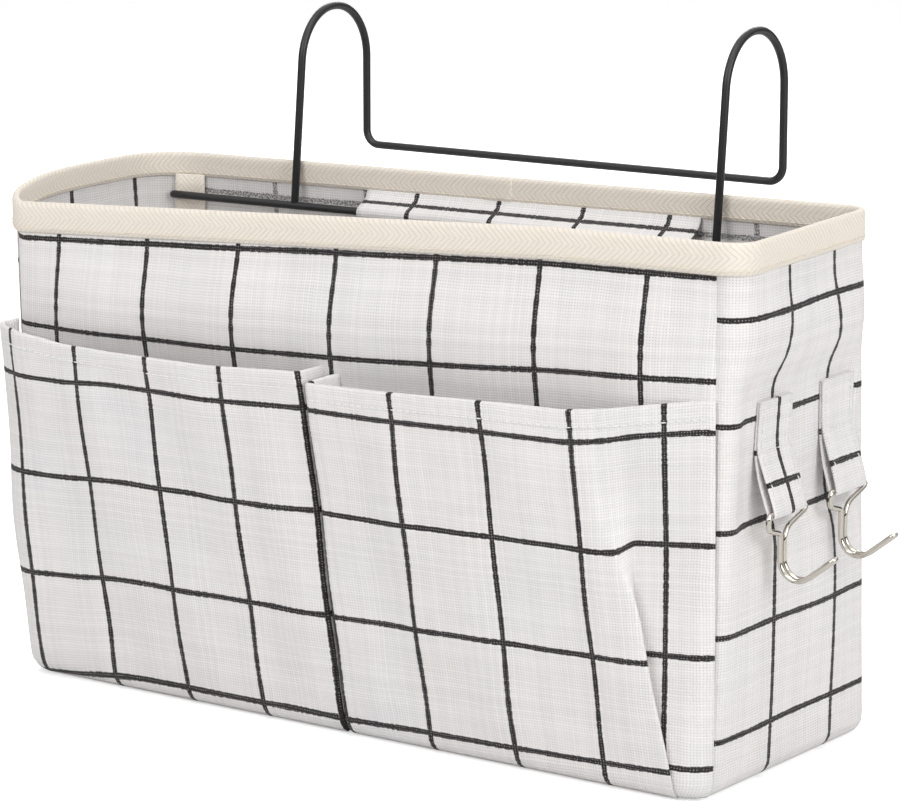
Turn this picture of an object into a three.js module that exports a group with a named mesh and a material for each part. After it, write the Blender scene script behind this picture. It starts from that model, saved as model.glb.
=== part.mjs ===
// Bedside caddy: a soft cloth bag with two front pockets and two side hooks. It hangs on a bed rail
// by a bent wire hanger, whose straight bar runs through a cloth sleeve inside the back wall.
// Units are millimetres. +Z is up, -Y is the front and the origin is the middle of the base's underside.
import * as THREE from 'three';

const { clamp, degToRad, lerp, smoothstep } = THREE.MathUtils;

// Bag, measured outside its cloth
const bagHeight = 200;
const rimWidth = 331;
const rimDepth = 100;
const rimForward = 4.5; // how far the rim's middle lies in front of the base's middle
const rimCorner = 12;
const baseWidth = 318;
const baseDepth = 124;
const baseSeamCorner = 4; // corner radius of the flat base panel
const bottomRoll = 7; // radius of the rolled edge between the walls and the base
const cloth = 1.2;
const seamTurnAtRim = 0; // degrees round the corner from the front or back wall to its seam
const seamTurnAtBase = 65;

// Twill tape on the rim and over the inner seams
const tape = 1;
const bindingDrop = 11.5;
const seamTapeWidth = 14;

// Front pockets
const pocketMouthHeight = 139;
const pocketGap = 3; // between the two pockets at the middle of the front
const pocketShift = 11; // of the gap between the pockets to the left, from their feet to their mouths
const leftPocketStandOut = 16; // outside of the cloth from the wall, at the pocket's mouth
const middlePocketStandOut = 19;
const pocketFootStandOut = 5;
const pocketBulge = 4;
const pocketReturnStart = 0.66; // share of the right pocket's width where it turns back to the seam

// Wire hanger
const hangerWire = 3.2;
const uprightSpacing = 196;
const barBelowRim = 17.5;
const barEndGapLeft = 2; // from the bar's end to the side wall
const barEndGapRight = 14;
const hangerLean = 5.8; // degrees that the uprights lean back
const archRise = 79; // from the bar's axis to the top of the arch
const railGap = 44; // from the uprights to the rear drops, at the top of the arch
const archFlat = 0.9; // straight wire between the arch's two bends
const crossbarRise = 19;
const crossbarBend = 6;

// Sleeve that holds the hanger's bar
const sleeveGapLeft = 37; // from the left upright to the sleeve
const sleeveGapRight = 3;
const sleeveHead = 1.5; // flat strip under the binding
const sleeveTail = 24; // strip that runs down from the bar, its lower half sewn flat
const barPlay = 0.4;

// Hook loops and wire hooks on the right side
const loopTopHeight = 140;
const loopSpacing = 47;
const loopWidth = 23;
const loopSewn = 18;
const loopFree = 21; // from the end of the stitches down to the hook's bar
const loopFlare = 3; // from the wall to the hook's bar
const hookWire = 2;
const hookBend = 2;
const hookNeckBend = 4;
const hookShoulderDrop = 4;
const hookNeckDrop = 12;
const hookDrop = 32; // from the hook's bar to the corner under its bend
const hookReach = 20;
const hookTipRise = 32; // degrees
const hookBottomBend = 7;

// Clearances and mesh steps
const seamGap = 0.3;
const wireSplit = 0.5;
const rollSteps = 4;
const wallSteps = 5;
const cornerSteps = 8;
const foldSteps = 6;
const bendStep = degToRad(15);
const hangerSides = 12;
const hookSides = 8;

// Sizes that follow from the ones above
const baseCorner = bottomRoll + baseSeamCorner;
const foldRadius = cloth / 2 + seamGap + tape;
const foldHeight = bagHeight - foldRadius;
const bindingFoot = bagHeight - bindingDrop;
const barHeight = bagHeight - barBelowRim;

// Finishes
const linen = () => new THREE.MeshStandardMaterial({ color: 0xe9e6e4, roughness: 0.92, metalness: 0 });
const twill = () => new THREE.MeshStandardMaterial({ color: 0xf1e8d6, roughness: 0.88, metalness: 0 });
const blackCoat = () => new THREE.MeshStandardMaterial({ color: 0x17181a, roughness: 0.42, metalness: 0.2 });
const nickel = () => new THREE.MeshStandardMaterial({ color: 0xc9c3b6, roughness: 0.22, metalness: 1 });

const caddy = new THREE.Group();

function addPart(name, geometry, material) {
  const mesh = new THREE.Mesh(geometry, material);
  mesh.name = name;
  caddy.add(mesh);
  return mesh;
}

// The bag's outline at a height: a rounded rectangle that changes evenly from base to rim.
function outlineAt(z) {
  const up = z / bagHeight;
  const corner = lerp(baseCorner, rimCorner, up);
  return {
    corner,
    seamRun: corner * degToRad(lerp(seamTurnAtBase, seamTurnAtRim, up)),
    flatX: lerp(baseWidth, rimWidth, up) / 2 - corner,
    flatY: lerp(baseDepth, rimDepth, up) / 2 - corner,
    forward: rimForward * up,
  };
}

// A point of the wall near the corner on one side (-1 left, 1 right) and end (-1 front, 1 back).
// The run goes round the corner from where the front or back wall starts to turn.
function wallPoint(side, end, run, z, inset) {
  const outline = outlineAt(z);
  const turn = clamp(run / outline.corner, 0, Math.PI / 2);
  const rest = run - turn * outline.corner;
  const radius = outline.corner - inset;
  const x = outline.flatX + radius * Math.sin(turn) + Math.min(rest, 0);
  const y = outline.flatY + radius * Math.cos(turn) - Math.max(rest, 0);
  return new THREE.Vector3(side * x, end * y - outline.forward, z);
}

// Distance from the middle of the bag to a wall's outside, at a height.
const sideX = (z) => wallPoint(1, -1, outlineAt(z).corner * Math.PI, z, 0).x;
const backY = (z) => wallPoint(1, 1, 0, z, 0).y;

// Evenly spaced values from one number to another, both included.
function spaced(from, to, steps) {
  return Array.from({ length: steps + 1 }, (_, i) => lerp(from, to, i / steps));
}

// A closed body from its points and faces, with its faces turned outwards.
function solid(points, faces) {
  let volume = 0;
  for (const [a, b, c] of faces) {
    volume += points[a].dot(new THREE.Vector3().crossVectors(points[b], points[c]));
  }
  const outward = volume < 0 ? faces.map(([a, b, c]) => [a, c, b]) : faces;
  const geometry = new THREE.BufferGeometry().setFromPoints(points);
  geometry.setIndex(outward.flat());
  geometry.computeVertexNormals();
  return geometry;
}

// Two triangles over four corners in order.
const quad = (a, b, c, d) => [[a, b, c], [a, c, d]];

// A piece of cloth as a closed body between two grids of points, its outer and inner faces.
function sheet(outer, inner) {
  const rows = outer.length;
  const columns = outer[0].length;
  const at = (face, i, j) => (face * rows + i) * columns + j;
  const faces = [];
  for (let i = 0; i + 1 < rows; i++) {
    for (let j = 0; j + 1 < columns; j++) {
      faces.push(...quad(at(0, i, j), at(0, i, j + 1), at(0, i + 1, j + 1), at(0, i + 1, j)));
      faces.push(...quad(at(1, i, j), at(1, i + 1, j), at(1, i + 1, j + 1), at(1, i, j + 1)));
    }
  }
  const bottom = rows - 1;
  const far = columns - 1;
  for (let i = 0; i < bottom; i++) {
    faces.push(...quad(at(0, i, 0), at(0, i + 1, 0), at(1, i + 1, 0), at(1, i, 0)));
    faces.push(...quad(at(0, i, far), at(1, i, far), at(1, i + 1, far), at(0, i + 1, far)));
  }
  for (let j = 0; j < far; j++) {
    faces.push(...quad(at(0, 0, j), at(1, 0, j), at(1, 0, j + 1), at(0, 0, j + 1)));
    faces.push(...quad(at(0, bottom, j), at(0, bottom, j + 1), at(1, bottom, j + 1), at(1, bottom, j)));
  }
  return solid([...outer.flat(), ...inner.flat()], faces);
}

// A closed ring through closed sections that all have the same number of points.
function ring(sections) {
  const count = sections[0].length;
  const at = (i, j) => (i % sections.length) * count + (j % count);
  const faces = [];
  for (let i = 0; i < sections.length; i++) {
    for (let j = 0; j < count; j++) {
      faces.push(...quad(at(i, j), at(i, j + 1), at(i + 1, j + 1), at(i + 1, j)));
    }
  }
  return solid(sections.flat(), faces);
}

// The two faces of a strip of cloth along a flat line of points, with mitred corners.
function stripFaces(line, thickness) {
  const square = (a, b) => new THREE.Vector2(a.y - b.y, b.x - a.x).normalize();
  const faces = { left: [], right: [] };
  line.forEach((point, i) => {
    const before = square(line[Math.max(i - 1, 0)], line[Math.max(i, 1)]);
    const after = square(line[Math.min(i, line.length - 2)], line[Math.min(i + 1, line.length - 1)]);
    const middle = before.clone().add(after).normalize();
    const step = middle.multiplyScalar(thickness / 2 / middle.dot(after));
    faces.left.push(point.clone().add(step));
    faces.right.push(point.clone().sub(step));
  });
  return faces;
}

// Rows of a wall from its rolled foot up to a height: inset and height of its outer and inner face.
function wallRows(top) {
  const roll = spaced(Math.PI / 2, 0, rollSteps).slice(0, -1).map((turn) => ({
    outer: [bottomRoll * (1 - Math.cos(turn)), bottomRoll * (1 - Math.sin(turn))],
    inner: [bottomRoll - (bottomRoll - cloth) * Math.cos(turn),
      bottomRoll - (bottomRoll - cloth) * Math.sin(turn)],
  }));
  const straight = spaced(bottomRoll, top, wallSteps).map((z) => ({ outer: [0, z], inner: [cloth, z] }));
  return [...roll, ...straight];
}

// A piece of wall over its rows, through stations that give side, end and run at a height.
function wallSheet(stations, rows) {
  const face = (key) => rows.map((row) => {
    const [inset, z] = row[key];
    return stations(outlineAt(z)).map(([side, end, run]) => wallPoint(side, end, run, z, inset));
  });
  return sheet(face('outer'), face('inner'));
}

// Front and back walls reach a little way round their corners, to the side walls' seams.
function flatWall(end) {
  const stations = ({ corner, seamRun }) => {
    const runs = spaced(-corner / 2, seamRun - seamGap / 2, cornerSteps);
    return [...runs.toReversed().map((run) => [-1, end, run]), ...runs.map((run) => [1, end, run])];
  };
  return wallSheet(stations, wallRows(foldHeight));
}

// Each side wall wraps both of its corners.
function sideWall(side) {
  const stations = ({ corner, seamRun }) => {
    const runs = spaced(seamRun + seamGap / 2, corner * Math.PI / 2, cornerSteps);
    return [...runs.map((run) => [side, -1, run]), ...runs.toReversed().map((run) => [side, 1, run])];
  };
  return wallSheet(stations, wallRows(foldHeight));
}

// The flat base inside the rolled edge.
function basePanel() {
  const outline = outlineAt(0);
  const radius = baseSeamCorner - seamGap;
  const shape = new THREE.Shape();
  shape.absarc(outline.flatX, outline.flatY, radius, 0, Math.PI / 2);
  shape.absarc(-outline.flatX, outline.flatY, radius, Math.PI / 2, Math.PI);
  shape.absarc(-outline.flatX, -outline.flatY, radius, Math.PI, 1.5 * Math.PI);
  shape.absarc(outline.flatX, -outline.flatY, radius, 1.5 * Math.PI, 2 * Math.PI);
  const curveSegments = foldSteps / 2;
  return new THREE.ExtrudeGeometry(shape, { depth: cloth, bevelEnabled: false, curveSegments });
}

// Twill tape folded over the rim, with one leg outside and one inside.
function rimBinding() {
  const arc = (radius, from, to) => spaced(from, to, foldSteps).map((turn) => [
    cloth / 2 - radius * Math.cos(turn), foldHeight + radius * Math.sin(turn)]);
  const innerRadius = foldRadius - tape;
  const section = [
    [cloth / 2 - foldRadius, bindingFoot], ...arc(foldRadius, 0, Math.PI),
    [cloth / 2 + foldRadius, bindingFoot], [cloth / 2 + innerRadius, bindingFoot],
    ...arc(innerRadius, Math.PI, 0), [cloth / 2 - innerRadius, bindingFoot],
  ];
  const sections = [];
  for (const [side, end, from, to] of [[1, -1, 0, 1], [1, 1, 1, 0], [-1, 1, 0, 1], [-1, -1, 1, 0]]) {
    for (const part of spaced(from, to, cornerSteps)) {
      sections.push(section.map(([inset, z]) => {
        return wallPoint(side, end, part * outlineAt(z).corner * Math.PI / 2, z, inset);
      }));
    }
  }
  return ring(sections);
}

// A strip of tape over the inside of one corner seam, from the rolled foot to the binding.
function seamTape(side, end) {
  const stations = ({ seamRun }) => {
    const runs = spaced(seamRun - seamTapeWidth / 2, seamRun + seamTapeWidth / 2, cornerSteps);
    return runs.map((run) => [side, end, run]);
  };
  const face = cloth + seamGap;
  const rows = spaced(bottomRoll, bindingFoot - seamGap, wallSteps).map((z) => {
    return { outer: [face, z], inner: [face + tape, z] };
  });
  return wallSheet(stations, rows);
}

// A pocket on the front wall. Its plan at a height is a line of points: the way along the wall from
// the middle of the front, and the distance from the wall.
function pocket(plan) {
  const rows = spaced(bottomRoll, pocketMouthHeight, wallSteps).map((z) => {
    const { flatX } = outlineAt(z);
    const place = ({ x, y }) => wallPoint(Math.sign(x), -1, Math.abs(x) - flatX, z, -y);
    const faces = stripFaces(plan(z), cloth);
    return { outer: faces.left.map(place), inner: faces.right.map(place) };
  });
  return sheet(rows.map((row) => row.outer), rows.map((row) => row.inner));
}

// Share of a pocket's height, from its foot to its mouth.
const pocketUp = (z) => (z - bottomRoll) / (pocketMouthHeight - bottomRoll);

// How far a pocket's cloth stands out at a height, for its stand-out at the mouth.
function standOutAt(z, mouth) {
  return lerp(pocketFootStandOut, mouth, pocketUp(z)) - cloth / 2;
}

const pocketSeat = seamGap + cloth / 2;

// Places along the front wall at a height, from the corner seam on one side to the gap between the
// pockets, as distances from the middle of the front.
function pocketStations(side, z) {
  const { flatX, seamRun } = outlineAt(z);
  const corner = spaced(flatX + seamRun, flatX, foldSteps);
  const gap = pocketGap / 2 - side * pocketShift * pocketUp(z);
  return [...corner, ...spaced(flatX, gap, cornerSteps).slice(1)];
}

// How full a pocket is at a height and at a share of its width: nothing at its edges.
function bulgeAt(z, share) {
  return pocketBulge * Math.sqrt(pocketUp(z)) * Math.sin(Math.PI * share);
}

// The left pocket has a gusset at both ends.
function leftPocketPlan(z) {
  const stations = pocketStations(-1, z);
  const [seam] = stations;
  const middle = stations[stations.length - 1];
  const face = stations.map((along) => {
    const share = (seam - along) / (seam - middle);
    const mouth = lerp(leftPocketStandOut, middlePocketStandOut, share);
    return new THREE.Vector2(-along, standOutAt(z, mouth) + bulgeAt(z, share));
  });
  return [new THREE.Vector2(-seam, pocketSeat), ...face, new THREE.Vector2(-middle, pocketSeat)];
}

// The right pocket has a gusset at the middle and turns back to the seam at its right end.
function rightPocketPlan(z) {
  const stations = pocketStations(1, z).toReversed();
  const [middle] = stations;
  const seam = stations[stations.length - 1];
  const face = stations.map((along) => {
    const share = (along - middle) / (seam - middle);
    const full = standOutAt(z, middlePocketStandOut) + bulgeAt(z, share);
    return new THREE.Vector2(along, lerp(full, pocketSeat, smoothstep(share, pocketReturnStart, 1)));
  });
  return [new THREE.Vector2(middle, pocketSeat), ...face];
}

// Stations of a wire that runs straight between corners and bends round each inner one.
function bentWire(corners) {
  const stations = [corners[0].point];
  for (let i = 1; i + 1 < corners.length; i++) {
    const { point, bend } = corners[i];
    const back = corners[i - 1].point.clone().sub(point).normalize();
    const on = corners[i + 1].point.clone().sub(point).normalize();
    const turn = Math.PI - back.angleTo(on);
    const reach = bend * Math.tan(turn / 2);
    const centre = back.clone().add(on).normalize().multiplyScalar(bend / Math.cos(turn / 2)).add(point);
    const arm = point.clone().addScaledVector(back, reach).sub(centre);
    const axis = new THREE.Vector3().crossVectors(on, back).normalize();
    for (const angle of spaced(0, turn, Math.ceil(turn / bendStep))) {
      stations.push(arm.clone().applyAxisAngle(axis, angle).add(centre));
    }
  }
  stations.push(corners[corners.length - 1].point);
  return stations;
}

// A path that passes through its stations in even shares of its length.
class WirePath extends THREE.Curve {
  constructor(stations) {
    super();
    this.stations = stations;
    this.last = stations.length - 1;
  }

  getPointAt(share) {
    return this.stations[Math.round(share * this.last)].clone();
  }

  getTangentAt(share) {
    const i = Math.round(share * this.last);
    const before = this.stations[Math.max(i - 1, 0)];
    return this.stations[Math.min(i + 1, this.last)].clone().sub(before).normalize();
  }
}

function wire(stations, diameter, sides) {
  const section = new THREE.Shape().absarc(0, 0, diameter / 2, 0, 2 * Math.PI);
  const extrudePath = new WirePath(stations);
  const steps = stations.length - 1;
  const curveSegments = sides / 2; // an arc takes two points for each
  return new THREE.ExtrudeGeometry(section, { steps, curveSegments, bevelEnabled: false, extrudePath });
}

// The hanger's uprights rest against the inside of the back binding, just under its fold.
const lean = degToRad(hangerLean);
const bindingBack = backY(foldHeight) - cloth / 2 - foldRadius;
const leanBelowFold = (foldHeight - barHeight) * Math.tan(lean);
const barY = bindingBack - seamGap - hangerWire / 2 / Math.cos(lean) - leanBelowFold;

// One wire: up from the bar, over the rail, down, across the back and the same way home.
function hangerFrame() {
  const topFront = archRise * Math.tan(lean);
  const rear = topFront + railGap;
  const turn = Math.PI / 2 - lean;
  const arch = (railGap - archFlat) / (Math.tan(turn / 2) + 1);
  const foot = hangerWire + seamGap;
  const half = (side) => [
    { y: foot * Math.sin(lean), z: foot * Math.cos(lean) },
    { y: topFront, z: archRise, bend: arch },
    { y: rear, z: archRise, bend: arch },
    { y: rear, z: crossbarRise, bend: crossbarBend },
  ].map(({ y, z, bend }) => {
    return { point: new THREE.Vector3(side * uprightSpacing / 2, barY + y, barHeight + z), bend };
  });
  return wire(bentWire([...half(-1), ...half(1).toReversed()]), hangerWire, hangerSides);
}

function hangerBar() {
  const inside = sideX(barHeight) - cloth;
  const ends = [barEndGapLeft - inside, inside - barEndGapRight];
  const points = ends.map((x) => new THREE.Vector3(x, barY, barHeight));
  return wire(points, hangerWire, hangerSides);
}

// The sleeve is sewn to the back wall above and below the bar and goes round the bar's front.
function barSleeve() {
  const start = -uprightSpacing / 2 + hangerWire / 2 + sleeveGapLeft;
  const stop = uprightSpacing / 2 - hangerWire / 2 - sleeveGapRight;
  const seat = (z) => backY(z) - cloth - seamGap - cloth / 2;
  const round = hangerWire / 2 + barPlay + cloth / 2;
  const top = bindingFoot - seamGap;
  const foot = barHeight - sleeveTail;
  const around = spaced(0, Math.PI, foldSteps).map((turn) => new THREE.Vector2(
    barY - round * Math.sin(turn), barHeight + round * Math.cos(turn)));
  const line = [
    new THREE.Vector2(seat(top), top),
    new THREE.Vector2(seat(top - sleeveHead), top - sleeveHead),
    ...around,
    new THREE.Vector2(seat((barHeight + foot) / 2), (barHeight + foot) / 2),
    new THREE.Vector2(seat(foot), foot),
  ];
  const faces = stripFaces(line, cloth);
  const shape = new THREE.Shape([...faces.left, ...faces.right.toReversed()]);
  const geometry = new THREE.ExtrudeGeometry(shape, { depth: stop - start, bevelEnabled: false });
  const toFrame = new THREE.Matrix4().makeBasis(
    new THREE.Vector3(0, 1, 0), new THREE.Vector3(0, 0, 1), new THREE.Vector3(1, 0, 0));
  return geometry.applyMatrix4(toFrame).translate(start, 0, 0);
}

// Where a hook's bar lies: front hook (-1) or rear hook (1).
function hookPlace(end) {
  const z = loopTopHeight - loopSewn - loopFree;
  return new THREE.Vector3(sideX(z) + loopFlare, end * loopSpacing / 2 - outlineAt(z).forward, z);
}

// A doubled strip of cloth, sewn flat to the side wall, that hangs free round the hook's bar.
function hookLoop(end) {
  const bar = hookPlace(end);
  const eye = hookWire / 2 + seamGap;
  const sewnFoot = loopTopHeight - loopSewn;
  const inside = (z) => sideX(z) + seamGap;
  const fold = eye + cloth;
  const hang = Math.atan2(bar.x - inside(sewnFoot) - cloth, sewnFoot - bar.z);
  const shape = new THREE.Shape();
  shape.moveTo(inside(loopTopHeight), loopTopHeight);
  shape.lineTo(inside(sewnFoot), sewnFoot);
  shape.absarc(bar.x, bar.z, fold, Math.PI + hang, 2 * Math.PI + hang);
  shape.lineTo(inside(sewnFoot) + 2 * cloth, sewnFoot);
  shape.lineTo(inside(loopTopHeight) + 2 * cloth, loopTopHeight);
  shape.holes.push(new THREE.Path().absarc(bar.x, bar.z, eye, 0, 2 * Math.PI));
  const geometry = new THREE.ExtrudeGeometry(shape, {
    depth: loopWidth, bevelEnabled: false, curveSegments: foldSteps });
  const toFrame = new THREE.Matrix4().makeBasis(
    new THREE.Vector3(1, 0, 0), new THREE.Vector3(0, 0, 1), new THREE.Vector3(0, -1, 0));
  return geometry.applyMatrix4(toFrame).translate(0, bar.y + loopWidth / 2, 0);
}

// One wire bent double: a split bar in the loop, shoulders, a double shank and a closed tip.
function wireHook(end) {
  const bar = hookPlace(end);
  const barHalf = loopWidth / 2 + seamGap + hookBend;
  const pair = (hookWire + seamGap) / 2;
  const tipRise = degToRad(hookTipRise);
  const half = (side) => [
    { x: 0, y: wireSplit / 2, z: 0 },
    { x: 0, y: barHalf, z: 0, bend: hookBend },
    { x: 0, y: barHalf, z: -hookShoulderDrop, bend: hookBend },
    { x: 0, y: pair, z: -hookNeckDrop, bend: hookNeckBend },
    { x: 0, y: pair, z: -hookDrop, bend: hookBottomBend },
    { x: hookReach, y: pair, z: hookReach * Math.tan(tipRise) - hookDrop, bend: pair },
  ].map(({ x, y, z, bend }) => {
    return { point: new THREE.Vector3(bar.x + x, bar.y + side * y, bar.z + z), bend };
  });
  return wire(bentWire([...half(-1), ...half(1).toReversed()]), hookWire, hookSides);
}

addPart('front_panel', flatWall(-1), linen());
addPart('back_panel', flatWall(1), linen());
addPart('left_side_panel', sideWall(-1), linen());
addPart('right_side_panel', sideWall(1), linen());
addPart('base_panel', basePanel(), linen());
addPart('rim_binding', rimBinding(), twill());
for (const [sideName, side] of [['left', -1], ['right', 1]]) {
  for (const [endName, end] of [['front', -1], ['back', 1]]) {
    addPart(`${endName}_${sideName}_seam_tape`, seamTape(side, end), twill());
  }
}
addPart('left_pocket', pocket(leftPocketPlan), linen());
addPart('right_pocket', pocket(rightPocketPlan), linen());
addPart('bar_sleeve', barSleeve(), linen());
addPart('hanger_frame', hangerFrame(), blackCoat());
addPart('hanger_bar', hangerBar(), blackCoat());
for (const [name, end] of [['front', -1], ['rear', 1]]) {
  addPart(`${name}_hook_loop`, hookLoop(end), linen());
  addPart(`${name}_hook`, wireHook(end), nickel());
}

export default caddy;
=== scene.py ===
# %% [markdown]
# # A bedside caddy in printed linen
#
# The caddy is a soft bag that hangs on a bed rail by a bent wire. Its rigid pieces come from a packed
# model, which is loaded here as a fixed frame. This lesson dresses that frame: every piece of cloth is
# made again as a thin sewn sheet that has settled a little, and every surface gets a finish of nodes.

# %% Load the frame
import math

import bpy
import numpy as np
from mathutils import Matrix, Vector


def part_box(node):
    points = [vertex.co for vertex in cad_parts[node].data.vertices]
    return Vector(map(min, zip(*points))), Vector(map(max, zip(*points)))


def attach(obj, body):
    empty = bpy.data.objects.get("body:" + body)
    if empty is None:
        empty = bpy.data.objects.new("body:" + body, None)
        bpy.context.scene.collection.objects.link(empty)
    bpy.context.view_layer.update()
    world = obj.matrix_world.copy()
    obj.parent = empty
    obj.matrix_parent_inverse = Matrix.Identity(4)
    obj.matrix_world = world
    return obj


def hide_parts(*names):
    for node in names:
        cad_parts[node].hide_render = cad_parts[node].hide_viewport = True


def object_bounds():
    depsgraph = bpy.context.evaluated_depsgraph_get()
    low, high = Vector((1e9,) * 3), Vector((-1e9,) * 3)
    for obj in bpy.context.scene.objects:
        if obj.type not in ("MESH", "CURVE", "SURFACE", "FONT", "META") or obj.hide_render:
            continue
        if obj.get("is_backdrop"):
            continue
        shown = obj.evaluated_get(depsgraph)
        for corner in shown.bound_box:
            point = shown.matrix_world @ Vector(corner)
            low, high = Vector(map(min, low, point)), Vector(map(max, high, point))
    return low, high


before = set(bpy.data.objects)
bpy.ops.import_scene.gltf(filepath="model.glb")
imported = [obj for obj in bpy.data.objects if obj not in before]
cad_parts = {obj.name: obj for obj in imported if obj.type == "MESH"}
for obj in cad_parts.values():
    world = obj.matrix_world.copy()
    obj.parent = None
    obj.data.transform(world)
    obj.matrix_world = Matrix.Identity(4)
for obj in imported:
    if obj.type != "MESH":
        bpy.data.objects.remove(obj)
cad_low, cad_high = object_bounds()

# %% [markdown]
# ## The camera
#
# A long lens far away gives the flat perspective of a product picture. The camera looks at the middle
# of the bag from the front and a little from the right. Its place is worked out from two angles and a
# distance, so that each number means something by itself.

# %% Set up the camera
MM = 0.001
IMAGE_WIDTH = 900
SENSOR = 36.0
AZIMUTH = math.radians(33.317)
ELEVATION = math.radians(11.054)
FOCUS_PIXELS = 3776.4
CAMERA_DISTANCE = 1464.7
AIM_HEIGHT = 100.0
AIM_RIGHT = 3.0
AIM_UP = 18.4

away = Vector((math.sin(AZIMUTH) * math.cos(ELEVATION),
               -math.cos(AZIMUTH) * math.cos(ELEVATION), math.sin(ELEVATION)))
rightward = Vector((math.cos(AZIMUTH), math.sin(AZIMUTH), 0))
upward = away.cross(rightward)
eye = Vector((0, 0, AIM_HEIGHT)) + away * CAMERA_DISTANCE + rightward * AIM_RIGHT + upward * AIM_UP
camera_data = bpy.data.cameras.new("camera")
camera_data.sensor_width = SENSOR
camera_data.lens = FOCUS_PIXELS / IMAGE_WIDTH * SENSOR
camera = bpy.data.objects.new("camera", camera_data)
facing = Matrix((rightward, upward, away)).transposed().to_4x4()
camera.matrix_world = Matrix.Translation(eye * MM) @ facing
bpy.context.scene.collection.objects.link(camera)
bpy.context.scene.camera = camera
print("lens of", round(camera_data.lens, 1), "mm")

# %% [markdown]
# ## The bag's outline
#
# The bag is a rounded rectangle at every height, wide and shallow at the rim and a little narrower and
# deeper at the base. One function gives a point of the wall for a way along it, a height and a depth
# into the cloth. Every sewn piece is laid out on that function, so neighbours always meet.

# %% Measure the outline
def box_mm(node):
    low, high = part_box(node)
    return np.array(low) / MM, np.array(high) / MM


def lerp(a, b, share):
    return a + (b - a) * share


def smooth(low, high, value):
    share = np.clip((value - low) / (high - low), 0, 1)
    return share * share * (3 - 2 * share)


def stacked(*values):
    """Coordinates put together as points, spread over one grid."""
    return np.stack(np.broadcast_arrays(*values), axis=-1)


TAPE = 1.0
CLOTH = 0.9
SEAM_GAP = 0.3
BOTTOM_ROLL = 7.0
CORNER_AT_BASE = 11.0
CORNER_AT_RIM = {"front": (10.0, 10.0), "back": (24.0, 10.0)}  # left and right
SEAM_AT_BASE = 160.5  # along the cloth from the middle of the front or back
SEAM_AT_RIM = {"front": (162.0, 153.0), "back": (147.0, 153.0)}

rim_low, rim_high = box_mm("rim_binding")
_, base_high = box_mm("base_panel")
bag_height = rim_high[2]
binding_foot = rim_low[2]
base_half = base_high[:2] + SEAM_GAP + BOTTOM_ROLL
rim_half = (rim_high - rim_low)[:2] / 2 - TAPE - SEAM_GAP
rim_half[1] = base_half[1] + (rim_half[1] - base_half[1]) * bag_height / binding_foot
rim_forward = -(rim_low[1] + rim_high[1]) / 2 * bag_height / binding_foot
print("rim", (2 * rim_half).round(), "base", (2 * base_half).round(), "height", round(bag_height))


# %% Lay points on the wall
def at_corner(values, side, end):
    """The value of one corner: side is -1 left or 1 right, end is -1 front or 1 back."""
    return np.where(end < 0, np.where(side < 0, *values["front"]), np.where(side < 0, *values["back"]))


def corner_at(side, end, z):
    """Radius of a corner at a height."""
    return lerp(CORNER_AT_BASE, at_corner(CORNER_AT_RIM, side, end), z / bag_height)


def seam_at(side, end, z):
    """The way along the front or back from its middle to a corner seam."""
    return lerp(SEAM_AT_BASE, at_corner(SEAM_AT_RIM, side, end), z / bag_height)


def half_at(axis, z):
    """Half of the bag's width (axis 0) or depth (axis 1) at a height."""
    return lerp(base_half[axis], rim_half[axis], z / bag_height)


def wall(side, end, run, z, inset):
    """A wall point. The run goes round a corner from where the front or back starts to turn."""
    corner = corner_at(side, end, z)
    turn = np.clip(run / corner, 0, math.pi / 2)
    rest = run - turn * corner
    x = half_at(0, z) - corner + (corner - inset) * np.sin(turn) + np.minimum(rest, 0)
    y = half_at(1, z) - corner + (corner - inset) * np.cos(turn) - np.maximum(rest, 0)
    return stacked(side * x, end * y - rim_forward * z / bag_height, z)


def on_front(along, z, inset, end=-1):
    """A point of the front (or back) wall, by the way along the cloth from its middle."""
    side = np.where(along < 0, -1, 1)
    return wall(side, end, np.abs(along) - half_at(0, z) + corner_at(side, end, z), z, inset)


def on_side(along, z, inset, side=1):
    """A point of a side wall, by the way along the cloth from its middle, front first."""
    end = np.where(along < 0, -1, 1)
    corner = corner_at(side, end, z)
    return wall(side, end, half_at(1, z) + corner * (math.pi / 2 - 1) - np.abs(along), z, inset)


def side_reach(side, end, z):
    """The way along a side's cloth from its middle to the seam at one end."""
    corner = corner_at(side, end, z)
    return half_at(1, z) + half_at(0, z) + corner * (math.pi / 2 - 2) - seam_at(side, end, z)


front_width = [round(float(seam_at(-1, -1, z) + seam_at(1, -1, z))) for z in (0, bag_height)]
print("the front is", front_width, "mm wide between its seams, at the foot and at the rim")

# %% [markdown]
# ## Settled cloth
#
# A sewn bag never stands square. Here the rim has dropped at the front left and is drawn in on the
# right, and the base has turned a little on the floor. One field moves every cloth piece in the same
# way, so the seams stay closed. The walls also have forms of their own. The front swells between its
# pockets and the rim. The hook loops draw the right side in and pull its print out of line.

# %% Let the cloth settle
RIM_SETTLED = {"front": ((-3, -4), (-3.5, 2)), "back": ((-6.5, -0.5), (-6, 1.5))}  # left, right: x, y
BASE_SETTLED = {"front": ((-4.5, 5.6), (-1.6, -8.3)), "back": ((0, 5.6), (3, -8.3))}
SETTLE_CURVE = 1.5
SAG = 0.0395  # drop of the front rim for each millimetre to the left
SAG_FROM = 85.0
SAG_DEPTH = 13.0
SAG_START = 100.0
BACK_RISE = 1.5


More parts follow.
